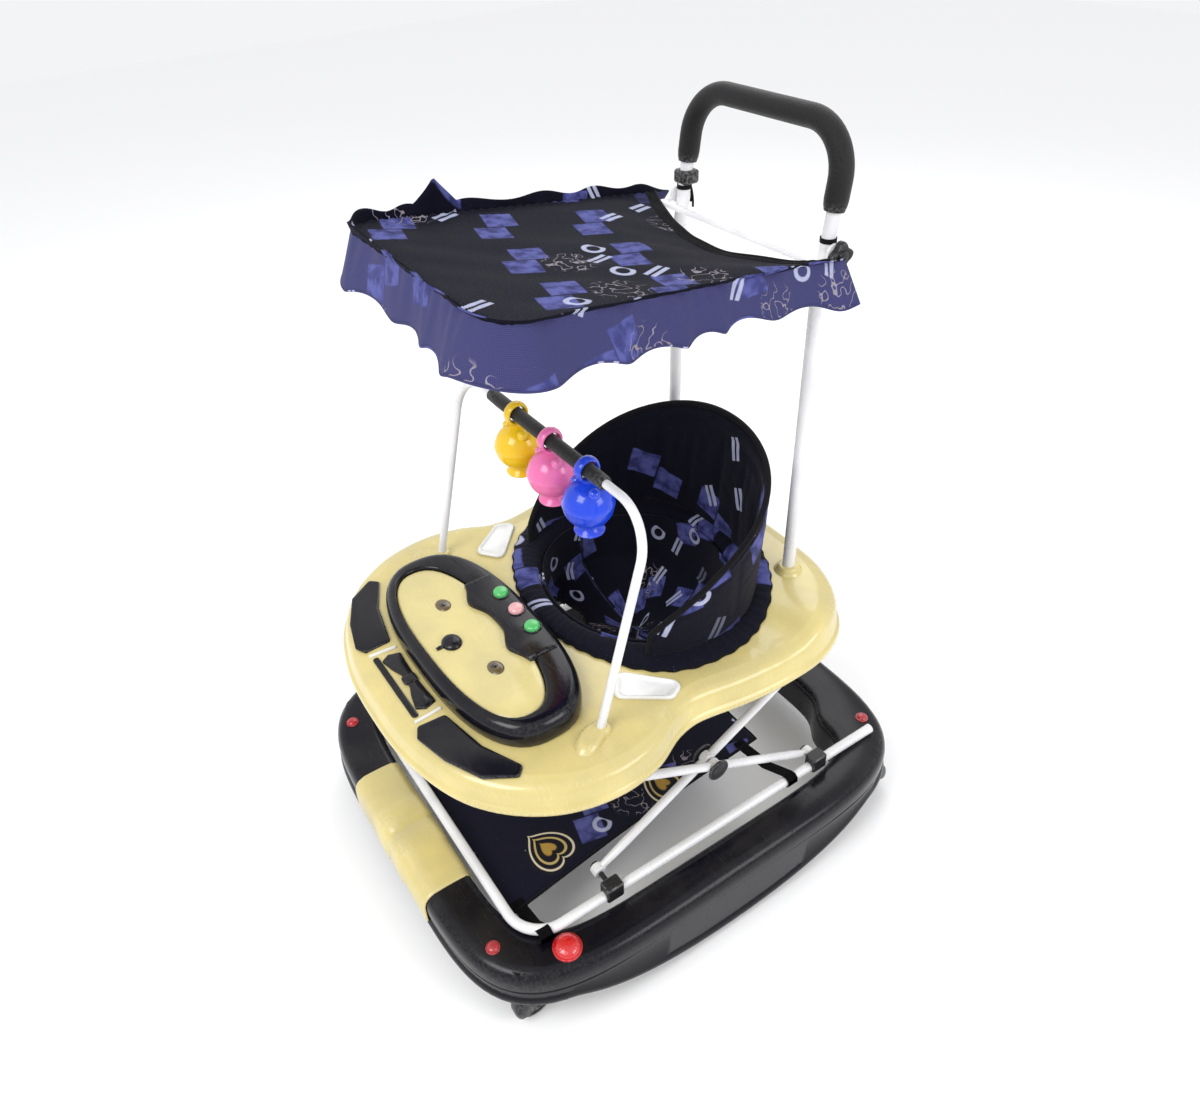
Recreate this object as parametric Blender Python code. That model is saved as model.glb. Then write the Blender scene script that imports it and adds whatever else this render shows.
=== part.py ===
"""Baby walker: a ring-shaped rocker base on four casters, a folding scissor frame, a moulded tray with
a play console and a toy bar, a padded seat, and a push handle that carries a tilting sun canopy.

Metres, +Z up. The child looks along -Y and the child's left is +X. The origin is on the floor,
under the middle of the base."""

import math

import bmesh
import bpy
from mathutils import Vector

GAP = 0.0004                      # clearance between pieces that touch

# Rocker base
BASE_HALF_WIDTH = 0.318
BASE_FRONT = 0.363                # distance of the front edge from the origin
BASE_REAR = 0.3662
BASE_INNER_HALF_WIDTH = 0.262
BASE_INNER_HALF_LENGTH = 0.296
BASE_TOP = 0.116
BASE_WALL = 0.003
BASE_RIM_LOW = 0.060              # lower edge of the walls above the casters
ROCKER_LOW = 0.012                # lower edge of the walls at the middle of a side
ROCKER_HALF_LENGTH = 0.25
GUSSET_DEPTH = 0.022
GUSSET_ANGLE = 55.0
PANEL_HALF_WIDTH = 0.116
PANEL_THICKNESS = 0.002

# Casters
CASTER_X = 0.262
CASTER_Y = 0.304
CASTER_TRAIL = 0.010
WHEEL_RADIUS = 0.024
WHEEL_WIDTH = 0.017
HOOD_TOP = 0.0525
BOSS_RADIUS = 0.012
STEM_RADIUS = 0.0055
STEM_LENGTH = 0.0255              # above the hood

# Base tube and mat
BASE_TUBE_RADIUS = 0.007
BASE_TUBE_X = 0.250
BASE_TUBE_Z = BASE_TOP + BASE_TUBE_RADIUS + 0.0005
BASE_TUBE_FRONT = -0.286
BASE_TUBE_REAR = 0.312
MAT_FRONT = -0.276
MAT_REAR = 0.175
MAT_TOP = 0.102
MAT_THICKNESS = 0.004

# Scissor frame: the rear pivots stay, the front ends slide
REAR_PIVOT_Y = 0.199
FRONT_PIVOT_Y = -0.159
LOW_PIVOT_Z = 0.130
HIGH_PIVOT_Z = 0.320
MID_PIVOT_Y = (REAR_PIVOT_Y + FRONT_PIVOT_Y) / 2
MID_PIVOT_Z = (LOW_PIVOT_Z + HIGH_PIVOT_Z) / 2
OUTER_LEG_X = 0.2335
INNER_LEG_X = 0.2175
LEG_RADIUS = 0.006
EYE_RADIUS = 0.009
EYE_HALF_WIDTH = 0.0065
PIN_RADIUS = 0.0035
PIN_BORE = 0.0038
PIN_HEAD_RADIUS = 0.006
PIN_HEAD_LENGTH = 0.0025
HUB_RADIUS = 0.016
HUB_THICKNESS = 0.0045

# Tray
TRAY_LOW = 0.336                  # lower edge of the skirt
TRAY_DECK = 0.374
TRAY_WALL = 0.003
TRAY_REAR_RISE = 0.014
OPENING_Y = 0.062                 # centre of the seat opening
OPENING_HALF_WIDTH = 0.155
OPENING_HALF_LENGTH = 0.135
RAIL_X = 0.214
RAIL_Z = 0.338
RAIL_RADIUS = 0.005
RAIL_FRONT = -0.228
RAIL_REAR = 0.214
RAIL_TOP_DROP = 0.0125          # from the deck to the rail's upright ends

# Play console
CONSOLE_Y = -0.190
CONSOLE_HALF_LENGTH = 0.189
CONSOLE_HALF_WIDTH = 0.085
CONSOLE_TOP = 0.407
FACE_Y = -0.205
FACE_HALF_LENGTH = 0.161
FACE_HALF_WIDTH = 0.056
FACE_FLOOR = 0.397
BUTTON_PANEL_Y = -0.137
BUTTON_Y = -0.130
BUTTON_PLACES = {"right": -0.041, "middle": 0.0, "left": 0.041}
BUTTON_RADIUS = 0.0105
BUTTON_TRAVEL = 0.0018

# Toy bar
BAR_FOOT_X = 0.208
BAR_FOOT_Y = -0.139
BAR_TOP_Y = -0.068
BAR_TOP_Z = 0.655
BAR_RADIUS = 0.0055
SLEEVE_RADIUS = 0.009
SLEEVE_HALF_LENGTH = 0.130
TOY_RADIUS = 0.031
TOY_DROP = 0.047                  # from the bar's axis to the middle of a toy
TOY_PLACES = (("toy_yellow", -0.068), ("toy_pink", 0.012), ("toy_blue", 0.092))

# Seat
COLLAR_WIDTH = 0.044
CLOTH = 0.005
SEAT_LOW = 0.262
BACK_HALF_WIDTH = 0.179
BACK_HALF_LENGTH = 0.155
BACK_THICKNESS = 0.015
BACK_LEAN = 0.018
BACK_SPAN = 120.0                 # degrees to each side of the rear
BACK_RISE = 0.178

# Push handle
POST_X = 0.130
POST_FOOT_Y = 0.232
POST_RADIUS = 0.0085
POST_TOP = 0.800
HANDLE_JOIN_Y = 0.236
HANDLE_LEAN = 0.142
HANDLE_TOP = 0.983
HANDLE_CORNER = 0.058
GRIP_RADIUS = 0.014
GRIP_LOW = 0.893

# Canopy
TILT_Z = 0.849
TILT_Y = HANDLE_JOIN_Y + HANDLE_LEAN * (TILT_Z - POST_TOP)
CANOPY_REAR = 0.222
CANOPY_FRONT = -0.205
CANOPY_HALF_WIDTH = 0.162
CANOPY_REAR_Z = 0.852
CANOPY_SLOPE = 0.115
CANOPY_DROP = 0.052
CANOPY_FLARE = 0.010
CANOPY_CLOTH = 0.004
FRAME_RADIUS = 0.004
FRAME_X = 0.147

MATERIALS = {
    "black_plastic": ((0.012, 0.012, 0.018), 0.30, 0.0),
    "cream_plastic": ((0.83, 0.70, 0.36), 0.35, 0.0),
    "white_plastic": ((0.86, 0.86, 0.84), 0.40, 0.0),
    "white_tube": ((0.85, 0.85, 0.87), 0.30, 0.0),
    "red_plastic": ((0.60, 0.02, 0.03), 0.25, 0.0),
    "wheel_plastic": ((0.015, 0.015, 0.017), 0.50, 0.0),
    "mat_fabric": ((0.02, 0.02, 0.05), 0.85, 0.0),
    "seat_fabric": ((0.03, 0.03, 0.08), 0.85, 0.0),
    "canopy_fabric": ((0.04, 0.04, 0.12), 0.80, 0.0),
    "foam": ((0.02, 0.02, 0.02), 0.90, 0.0),
    "green_plastic": ((0.10, 0.62, 0.20), 0.35, 0.0),
    "pink_plastic": ((0.85, 0.32, 0.55), 0.35, 0.0),
    "yellow_plastic": ((0.90, 0.62, 0.05), 0.35, 0.0),
    "blue_plastic": ((0.04, 0.14, 0.75), 0.35, 0.0),
}


# ---------------------------------------------------------------- tools of the bench

def clear_scene():
    for obj in list(bpy.data.objects):
        bpy.data.objects.remove(obj, do_unlink=True)


def make_materials():
    made = {}
    for name, (colour, roughness, metallic) in MATERIALS.items():
        material = bpy.data.materials.new(name)
        material.use_nodes = True
        shader = material.node_tree.nodes["Principled BSDF"]
        shader.inputs["Base Color"].default_value = (*colour, 1.0)
        shader.inputs["Roughness"].default_value = roughness
        shader.inputs["Metallic"].default_value = metallic
        made[name] = material
    return made


def body_empty(name, place):
    """The empty that a moving body hangs on, placed on its joint's axis."""
    empty = bpy.data.objects.new("body_" + name, None)
    empty.location = place
    bpy.context.collection.objects.link(empty)
    return empty


def place_mesh(name, bm):
    bmesh.ops.recalc_face_normals(bm, faces=bm.faces)
    mesh = bpy.data.meshes.new(name)
    bm.to_mesh(mesh)
    bm.free()
    obj = bpy.data.objects.new(name, mesh)
    bpy.context.collection.objects.link(obj)
    return obj


def helper(name, bm):
    """A hidden operand of a Boolean."""
    obj = place_mesh(name, bm)
    obj.hide_render = True
    obj.display_type = "WIRE"
    return obj


def piece(name, bm, slot, body, add=None, cut=None):
    """A named solid on a body; add and cut are meshes united with it and taken from it."""
    obj = place_mesh(name, bm)
    obj.data.materials.append(SLOTS[slot])
    obj.data.shade_smooth()
    obj.data.set_sharp_from_angle(angle=math.radians(35))
    obj.parent = BODIES[body]
    obj.location = -BODIES[body].location
    for word, operation, operand in (("add", "UNION", add), ("cut", "DIFFERENCE", cut)):
        if operand is not None:
            step = obj.modifiers.new(word, "BOOLEAN")
            step.operation = operation
            step.solver = "EXACT"
            step.use_self = True
            step.object = helper(name + "_" + word, operand)
    return obj


def skin(rings, closed=False):
    """A body skinned through rings of equal point counts, capped at its ends or closed on itself."""
    bm = bmesh.new()
    loops = [[bm.verts.new(point) for point in ring] for ring in rings]
    following = loops[1:] + (loops[:1] if closed else [])
    for here, there in zip(loops, following):
        for i in range(len(here)):
            j = (i + 1) % len(here)
            bm.faces.new((here[i], here[j], there[j], there[i]))
    if not closed:
        bm.faces.new(loops[0])
        bm.faces.new(loops[-1])
    return bm


def circle(centre, across, up, radius, sides):
    """A ring of points around a centre, in the plane of two unit vectors."""
    ring = []
    for i in range(sides):
        angle = math.tau * (i + 0.5) / sides
        ring.append(centre + radius * (math.cos(angle) * across + math.sin(angle) * up))
    return ring


def rod(start, end, radius, sides=12):
    """A plain round bar between two points."""
    start, end = Vector(start), Vector(end)
    along = (end - start).normalized()
    across = along.orthogonal().normalized()
    up = along.cross(across)
    return skin([circle(start, across, up, radius, sides), circle(end, across, up, radius, sides)])


def turned(centre, axis, profile, sides=16):
    """A turned body: profile lists (distance along the axis, radius)."""
    centre, axis = Vector(centre), Vector(axis).normalized()
    across = axis.orthogonal().normalized()
    up = axis.cross(across)
    return skin([circle(centre + axis * s, across, up, r, sides) for s, r in profile])


def block(low, high, bevel=0.0):
    bm = bmesh.new()
    bmesh.ops.create_cube(bm, size=1.0)
    size = [h - l for l, h in zip(low, high)]
    centre = [(h + l) / 2 for l, h in zip(low, high)]
    bmesh.ops.scale(bm, vec=size, verts=bm.verts)
    bmesh.ops.translate(bm, vec=centre, verts=bm.verts)
    if bevel:
        bmesh.ops.bevel(bm, geom=bm.edges[:], offset=bevel, segments=1, affect="EDGES")
    return bm


def merged(*meshes):
    """Several bodies in one mesh, for a Boolean operand."""
    together = bmesh.new()
    for bm in meshes:
        mesh = bpy.data.meshes.new("merged")
        bm.normal_update()
        bmesh.ops.recalc_face_normals(bm, faces=bm.faces)
        bm.to_mesh(mesh)
        bm.free()
        together.from_mesh(mesh)
        bpy.data.meshes.remove(mesh)
    return together


def rounded_path(corners, radius, steps=5):
    """A path through corners, each inner corner rounded by an arc of the given radius."""
    corners = [Vector(corner) for corner in corners]
    path = [corners[0]]
    for before, corner, after in zip(corners, corners[1:], corners[2:]):
        to_before = (before - corner).normalized()
        to_after = (after - corner).normalized()
        half = to_before.angle(to_after) / 2
        if math.pi / 2 - half < math.radians(2):
            path.append(corner)
            continue
        centre = corner + (to_before + to_after).normalized() * (radius / math.sin(half))
        first = corner + to_before * (radius / math.tan(half)) - centre
        last = corner + to_after * (radius / math.tan(half)) - centre
        turn = first.angle(last)
        for i in range(steps + 1):
            t = i / steps
            blend = (math.sin((1 - t) * turn) * first + math.sin(t * turn) * last) / math.sin(turn)
            path.append(centre + blend)
    path.append(corners[-1])
    return path


def rounded_loop(corners, radius, steps):
    """A closed level outline with every corner rounded; corners are (x, y)."""
    around = [(x, y, 0) for x, y in corners + corners[:2]]
    return rounded_path(around, radius, steps)[1:-1]


def sweep(path, radius, sides=10):
    """Circles along a path, each square to it, without twist."""
    path = [Vector(point) for point in path]
    rings = []
    across = None
    for i, point in enumerate(path):
        behind = path[max(i - 1, 0)]
        ahead = path[min(i + 1, len(path) - 1)]
        along = (ahead - behind).normalized()
        if across is None:
            across = along.orthogonal().normalized()
        across = (across - along * across.dot(along)).normalized()
        stretch = 1.0
        if 0 < i < len(path) - 1:
            bend = (point - behind).angle(ahead - point)
            stretch = 1.0 / math.cos(bend / 2)
        rings.append(circle(point, across, along.cross(across), radius * stretch, sides))
    return rings


def tube(path, radius, sides=10):
    return skin(sweep(path, radius, sides))


def sleeve(path, outer, inner, sides=12):
    """A hollow tube, open at both ends."""
    return skin(sweep(path, outer, sides) + sweep(path, inner, sides)[::-1], closed=True)


def superellipse(half_x, half_y, power, angle):
    """Distance from the centre to a superellipse in the direction of an angle."""
    c, s = abs(math.cos(angle)) / half_x, abs(math.sin(angle)) / half_y
    return (c ** power + s ** power) ** (-1 / power)


def oval(centre_y, half_x, half_y, power, z, count=32):
    """A level superellipse ring around (0, centre_y)."""
    ring = []
    for i in range(count):
        angle = math.tau * i / count
        r = superellipse(half_x, half_y, power, angle)
        ring.append((r * math.cos(angle), centre_y + r * math.sin(angle), z))
    return ring


def smoothstep(low, high, value):
    t = min(max((value - low) / (high - low), 0.0), 1.0)
    return t * t * (3 - 2 * t)


def outline_plate(outline, low, high, bevel):
    """A plate with a small bevel round its top; outline is a list of (x, y)."""
    middle = Vector((sum(x for x, y in outline), sum(y for x, y in outline))) / len(outline)
    inner = []
    for x, y in outline:
        inward = (middle - Vector((x, y))).normalized() * bevel
        inner.append((x + inward.x, y + inward.y, high))
    rings = [[(x, y, low) for x, y in outline], [(x, y, high - bevel) for x, y in outline], inner]
    return skin(rings)


# ---------------------------------------------------------------- rocker base

def base_outer(angle):
    length = BASE_REAR if math.sin(angle) > 0 else BASE_FRONT
    return superellipse(BASE_HALF_WIDTH, length, 5, angle)


def base_inner(angle):
    """The inner edge, which bulges inward in a lobe at each rear corner."""
    r = superellipse(BASE_INNER_HALF_WIDTH, BASE_INNER_HALF_LENGTH, 6, angle)
    for lobe in (GUSSET_ANGLE, 180 - GUSSET_ANGLE):
        away = math.degrees(angle) - lobe
        r -= GUSSET_DEPTH * math.exp(-(away / 6.0) ** 2)
    return r


def rocker_edge(y):
    """Height of the walls' lower edge: a shallow arc along each side."""
    reach = min(abs(y) / ROCKER_HALF_LENGTH, 1.0)
    return ROCKER_LOW + (BASE_RIM_LOW - ROCKER_LOW) * reach ** 2.2


def base_ring():
    """A channel with its open side down, swept round the base."""
    count = 52
    rings = []
    for i in range(count):
        angle = math.tau * i / count
        outer, inner = base_outer(angle), base_inner(angle)
        low = rocker_edge(outer * math.sin(angle))
        top = BASE_TOP
        wall = BASE_WALL
        section = [
            (outer, low), (outer, top - 0.016), (outer - 0.004, top - 0.005), (outer - 0.014, top),
            (inner + 0.012, top), (inner + 0.003, top - 0.004), (inner, top - 0.014), (inner, low),
            (inner + wall, low), (inner + wall, top - 0.014), (inner + 0.012, top - wall),
            (outer - 0.014, top - wall), (outer - wall, top - 0.016), (outer - wall, low),
        ]
        rings.append([(r * math.cos(angle), r * math.sin(angle), z) for r, z in section])
    bosses = []
    bores = []
    for x, y in caster_places():
        profile = ((BASE_RIM_LOW, BOSS_RADIUS), (BASE_TOP - 0.001, BOSS_RADIUS))
        bosses.append(turned((x, y, 0), (0, 0, 1), profile))
        bores.append(rod((x, y, BASE_RIM_LOW - 0.01), (x, y, BASE_RIM_LOW + 0.022), STEM_RADIUS + 0.0005))
    piece("base_ring", skin(rings, closed=True), "black_plastic", "base", merged(*bosses), merged(*bores))


def front_panel():
    """A cream saddle over the front beam."""
    outer, inner = -BASE_FRONT, -BASE_INNER_HALF_LENGTH
    gap, skin_out = 0.0012, 0.0012 + PANEL_THICKNESS
    shape = ((outer, 0.068), (outer, BASE_TOP - 0.016), (outer + 0.004, BASE_TOP - 0.005),
             (outer + 0.014, BASE_TOP), (inner - 0.012, BASE_TOP), (inner - 0.003, BASE_TOP - 0.004),
             (inner, BASE_TOP - 0.014), (inner, 0.084))
    pushes = ((-1, 0), (-1, 0.2), (-0.8, 0.6), (-0.1, 1), (0.1, 1), (0.8, 0.6), (1, 0.2), (1, 0))
    section = [(y + gap * py, z + gap * pz) for (y, z), (py, pz) in zip(shape, pushes)]
    section += [(y + skin_out * py, z + skin_out * pz) for (y, z), (py, pz) in zip(shape[::-1], pushes[::-1])]
    rings = [[(x, y, z) for y, z in section] for x in (-PANEL_HALF_WIDTH, PANEL_HALF_WIDTH)]
    piece("front_panel", skin(rings), "cream_plastic", "base")


def studs_and_reflectors():
    places = (("front_right", -1, -1), ("front_left", 1, -1), ("rear_right", -1, 1), ("rear_left", 1, 1))
    for word, side, end in places:
        place = (side * 0.225, end * 0.322, BASE_TOP + GAP)
        piece("stud_" + word, turned(place, (0, 0, 1), ((0, 0.0095), (0.003, 0.009), (0.0055, 0.005))),
              "red_plastic", "base")
    for word, side in (("right", -1), ("left", 1)):
        place = (side * 0.2775, -0.246, BASE_TOP + GAP)
        dome = ((0, 0.019), (0.003, 0.019), (0.009, 0.014), (0.012, 0.007))
        piece("reflector_" + word, turned(place, (0, 0, 1), dome, 24), "red_plastic", "base")


def base_tube():
    """White U of tube that the scissor frame stands on."""
    corners = []
    for side in (-1, 1):
        arm = [(side * BASE_TUBE_X, y, BASE_TUBE_Z) for y in (BASE_TUBE_REAR, BASE_TUBE_FRONT)]
        corners += arm if side < 0 else arm[::-1]
    piece("base_tube", tube(rounded_path(corners, 0.05), BASE_TUBE_RADIUS), "white_tube", "base")


def foot_mat():
    outline = [(-0.190, MAT_FRONT), (0.190, MAT_FRONT), (0.178, -0.10), (0.152, MAT_REAR), (-0.152, MAT_REAR),
               (-0.178, -0.10)]
    piece("foot_mat", outline_plate(outline, MAT_TOP - MAT_THICKNESS, MAT_TOP, 0.001), "mat_fabric", "base")


# ---------------------------------------------------------------- casters

def caster_places():
    return [(side * CASTER_X, end * CASTER_Y) for end in (-1, 1) for side in (-1, 1)]


CASTER_NAMES = ("front_right", "front_left", "rear_right", "rear_left")


def casters():
    for word, (x, y) in zip(CASTER_NAMES, caster_places()):
        caster(word, x, y)


def caster(word, x, y):
    """A hood with a cheek on each side of one wheel, turning on a stem in the base's boss."""
    wheel_y = y + CASTER_TRAIL
    half = WHEEL_WIDTH / 2 + 0.001
    cheek = half + 0.003
    up = (0, 0, 1)
    hood = block((x - cheek, wheel_y - 0.020, 0.020), (x + cheek, wheel_y + 0.020, HOOD_TOP), 0.004)
    slot = block((x - half, wheel_y - 0.030, 0.0), (x + half, wheel_y + 0.030, WHEEL_RADIUS * 2 + 0.001))
    stem = turned((x, y, HOOD_TOP), up, ((-0.002, STEM_RADIUS), (STEM_LENGTH, STEM_RADIUS)), 12)
    collar = turned((x, y, HOOD_TOP), up, ((-0.003, 0.011), (BASE_RIM_LOW - HOOD_TOP - 0.0006, 0.010)), 12)
    axle = rod((x - half - 0.001, wheel_y, WHEEL_RADIUS), (x + half + 0.001, wheel_y, WHEEL_RADIUS), 0.003, 8)
    hood_piece = piece("caster_hood_" + word, hood, "black_plastic", "swivel_" + word, cut=slot)
    step = hood_piece.modifiers.new("stem", "BOOLEAN")
    step.operation = "UNION"
    step.use_self = True
    step.object = helper("caster_stem_" + word, merged(axle, collar, stem))
    wheel = skin(wheel_rings(x, wheel_y), closed=True)
    piece("caster_wheel_" + word, wheel, "wheel_plastic", "wheel_" + word)


def wheel_rings(x, y):
    """A wheel with rounded edges and a bore for its axle."""
    half = WHEEL_WIDTH / 2
    side = ((half, 0.0033), (half, 0.017), (half - 0.003, WHEEL_RADIUS - 0.002), (half - 0.006, WHEEL_RADIUS))
    profile = [(-s, r) for s, r in side] + list(side[::-1])
    count = 20
    rings = []
    for i in range(count):
        angle = math.tau * i / count - math.pi / 2
        c, s = math.cos(angle), math.sin(angle)
        rings.append([(x + along, y + r * c, WHEEL_RADIUS + r * s) for along, r in profile])
    return rings


# ---------------------------------------------------------------- scissor frame

def eye_discs(x, places):
    """Flat eyes on a leg, and the bores through them."""
    discs, bores = [], []
    for y, z, radius in places:
        discs.append(rod((x - EYE_HALF_WIDTH, y, z), (x + EYE_HALF_WIDTH, y, z), radius, 12))
        bores.append(rod((x - 0.01, y, z), (x + 0.01, y, z), PIN_BORE, 10))
    return merged(*discs), merged(*bores)


def legs():
    ends = {"outer": (OUTER_LEG_X, (REAR_PIVOT_Y, LOW_PIVOT_Z), (FRONT_PIVOT_Y, HIGH_PIVOT_Z), "outer_legs"),
            "inner": (INNER_LEG_X, (FRONT_PIVOT_Y, LOW_PIVOT_Z), (REAR_PIVOT_Y, HIGH_PIVOT_Z), "inner_legs")}
    for word, (x, low, high, body) in ends.items():
        for side_word, side in (("right", -1), ("left", 1)):
            places = ((*low, EYE_RADIUS), (MID_PIVOT_Y, MID_PIVOT_Z, 0.0095), (*high, EYE_RADIUS))
            discs, bores = eye_discs(side * x, places)
            bar = rod((side * x, *low), (side * x, *high), LEG_RADIUS, 10)
            piece(f"{word}_leg_{side_word}", bar, "white_tube", body, discs, bores)


def pivot_hubs():
    """Black two-headed hub at each crossing, fixed to the inner leg."""
    inside = INNER_LEG_X - EYE_HALF_WIDTH - GAP
    outside = OUTER_LEG_X + EYE_HALF_WIDTH + GAP
    near = ((inside - HUB_THICKNESS, HUB_RADIUS - 0.002), (inside - 0.001, HUB_RADIUS), (inside, PIN_RADIUS))
    far = ((outside, PIN_RADIUS), (outside + 0.001, HUB_RADIUS), (outside + HUB_THICKNESS, HUB_RADIUS - 0.002))
    profile = near + far
    for word, side in (("right", -1), ("left", 1)):
        hub = turned((0, MID_PIVOT_Y, MID_PIVOT_Z), (side, 0, 0), profile, 18)
        piece("pivot_hub_" + word, hub, "black_plastic", "inner_legs")


def pin(side, start, end, y, z):
    """A pin along X with a head at its end; start and end are distances from the middle plane."""
    reach = 1 if end > start else -1
    shank = rod((side * (start - reach * 0.002), y, z), (side * end, y, z), PIN_RADIUS, 12)
    head = rod((side * (end - reach * 0.0002), y, z), (side * (end + reach * PIN_HEAD_LENGTH), y, z),
               PIN_HEAD_RADIUS, 12)
    return shank, head


def side_box(side, near, far, low, high):
    """Corners of a box between two distances from the middle plane, on one side of it."""
    xs = sorted((side * near, side * far))
    return (xs[0], low[0], low[1]), (xs[1], high[0], high[1])


def rail_bore(x, y, z, radius):
    """A running bore along Y for a tube of the given radius."""
    return rod((x, y - 0.02, z), (x, y + 0.02, z), radius + 0.0008, 16)


def tube_brackets():
    """Clips on the base tube: fixed ones at the rear, sliding ones at the front."""
    clip_low = BASE_TUBE_Z - BASE_TUBE_RADIUS + 0.001
    clip_high = LOW_PIVOT_Z + 0.012
    for word, side in (("right", -1), ("left", 1)):
        for name, y, leg_x, body in (("rear_bracket_", REAR_PIVOT_Y, OUTER_LEG_X, "base"),
                                     ("lower_shoe_", FRONT_PIVOT_Y, INNER_LEG_X, "lower_shoes")):
            face = OUTER_LEG_X + EYE_HALF_WIDTH + 0.0005
            low = (y - 0.013, clip_low)
            high = (y + 0.013, clip_high)
            corners = side_box(side, face, BASE_TUBE_X + 0.010, low, high)
            add = merged(*pin(side, face, leg_x - EYE_HALF_WIDTH - 0.0005, y, LOW_PIVOT_Z))
            bore = rail_bore(side * BASE_TUBE_X, y, BASE_TUBE_Z, BASE_TUBE_RADIUS)
            piece(name + word, block(*corners, 0.002), "black_plastic", body, add, bore)


def upper_shoes():
    """Shoes that slide along the tray's rails, each with the pin of an outer leg's upper end."""
    face = OUTER_LEG_X - EYE_HALF_WIDTH - 0.0005
    y = FRONT_PIVOT_Y
    low = (y - 0.012, HIGH_PIVOT_Z - 0.010)
    high = (y + 0.012, RAIL_Z + 0.010)
    for word, side in (("right", -1), ("left", 1)):
        shoe = block(*side_box(side, RAIL_X - 0.010, face, low, high), 0.002)
        add = merged(*pin(side, face, OUTER_LEG_X + EYE_HALF_WIDTH + 0.0005, y, HIGH_PIVOT_Z))
        bore = rail_bore(side * RAIL_X, y, RAIL_Z, RAIL_RADIUS)
        piece("upper_shoe_" + word, shoe, "black_plastic", "upper_shoes", add, bore)


# ---------------------------------------------------------------- tray

TRAY_OUTLINE = ((0.0, -0.342), (0.10, -0.334), (0.19, -0.300), (0.250, -0.235), (0.272, -0.160),
                (0.265, -0.095), (0.244, -0.050), (0.238, -0.010), (0.248, 0.050), (0.253, 0.120),
                (0.246, 0.190), (0.216, 0.245), (0.155, 0.280), (0.08, 0.291), (0.0, 0.293))


def tray_outer(angle):
    """Distance from the opening's centre to the tray's outline, smooth between its corners."""
    mirrored = [(-x, y) for x, y in TRAY_OUTLINE[-2:0:-1]]
    polar = []
    for x, y in list(TRAY_OUTLINE) + mirrored:
        polar.append((math.atan2(y - OPENING_Y, x), math.hypot(x, y - OPENING_Y)))
    polar.sort()
    count = len(polar)
    angle = (angle + math.pi) % math.tau - math.pi
    here = sum(1 for a, r in polar if a <= angle) - 1
    knots = []
    for k in range(here - 1, here + 3):
        turns, index = divmod(k, count)
        knots.append((polar[index][0] + math.tau * turns, polar[index][1]))
    (a0, r0), (a1, r1), (a2, r2), (a3, r3) = knots
    t = (angle - a1) / (a2 - a1)
    slope1 = (r2 - r0) / (a2 - a0) * (a2 - a1)
    slope2 = (r3 - r1) / (a3 - a1) * (a2 - a1)
    return ((2 * t ** 3 - 3 * t ** 2 + 1) * r1 + (t ** 3 - 2 * t ** 2 + t) * slope1
            + (3 * t ** 2 - 2 * t ** 3) * r2 + (t ** 3 - t ** 2) * slope2)


def opening(angle):
    return superellipse(OPENING_HALF_WIDTH, OPENING_HALF_LENGTH, 2.0, angle)


def deck_height(y):
    """The deck is level in front and rises a little round the posts."""
    return TRAY_DECK + TRAY_REAR_RISE * smoothstep(0.10, 0.22, y)


def around_opening(angle, r, lift):
    """A point at a distance from the opening's centre, lifted above the deck."""
    y = OPENING_Y + r * math.sin(angle)
    return (r * math.cos(angle), y, deck_height(y) + lift)


def tray_shell():
    count = 48
    rings = []
    for i in range(count):
        angle = math.tau * i / count
        outer, inner = tray_outer(angle), opening(angle)
        middle = (outer + inner) / 2
        ring = []
        for r, z in ((outer, TRAY_LOW), (outer + 0.004, TRAY_LOW + 0.004), (outer + 0.003, TRAY_LOW + 0.011),
                     (outer - 0.001, TRAY_LOW + 0.015)):
            ring.append((r * math.cos(angle), OPENING_Y + r * math.sin(angle), z))
        for r, lift in ((outer - 0.005, -0.008), (outer - 0.015, -0.0015), (outer - 0.03, 0), (middle, 0),
                        (inner + 0.008, 0), (inner, -0.004), (inner, -0.016), (inner + TRAY_WALL, -0.016),
                        (inner + 0.008, -TRAY_WALL), (middle, -TRAY_WALL), (outer - 0.03, -TRAY_WALL),
                        (outer - 0.010, -0.011)):
            ring.append(around_opening(angle, r, lift))
        ring.append(((outer - TRAY_WALL) * math.cos(angle), OPENING_Y + (outer - TRAY_WALL) * math.sin(angle),
                     TRAY_LOW))
        rings.append(ring)
    bosses = []
    floor = deck_height(POST_FOOT_Y)
    up = (0, 0, 1)
    for side in (-1, 1):
        post_boss = ((-0.002, 0.016), (0.010, 0.013))
        bosses.append(turned((side * POST_X, POST_FOOT_Y, floor), up, post_boss))
        bar_boss = ((-0.002, 0.012), (0.010, 0.009))
        bosses.append(turned((side * BAR_FOOT_X, BAR_FOOT_Y, TRAY_DECK), up, bar_boss, 12))
    piece("tray_shell", skin(rings, closed=True), "cream_plastic", "tray", merged(*bosses))


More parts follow.
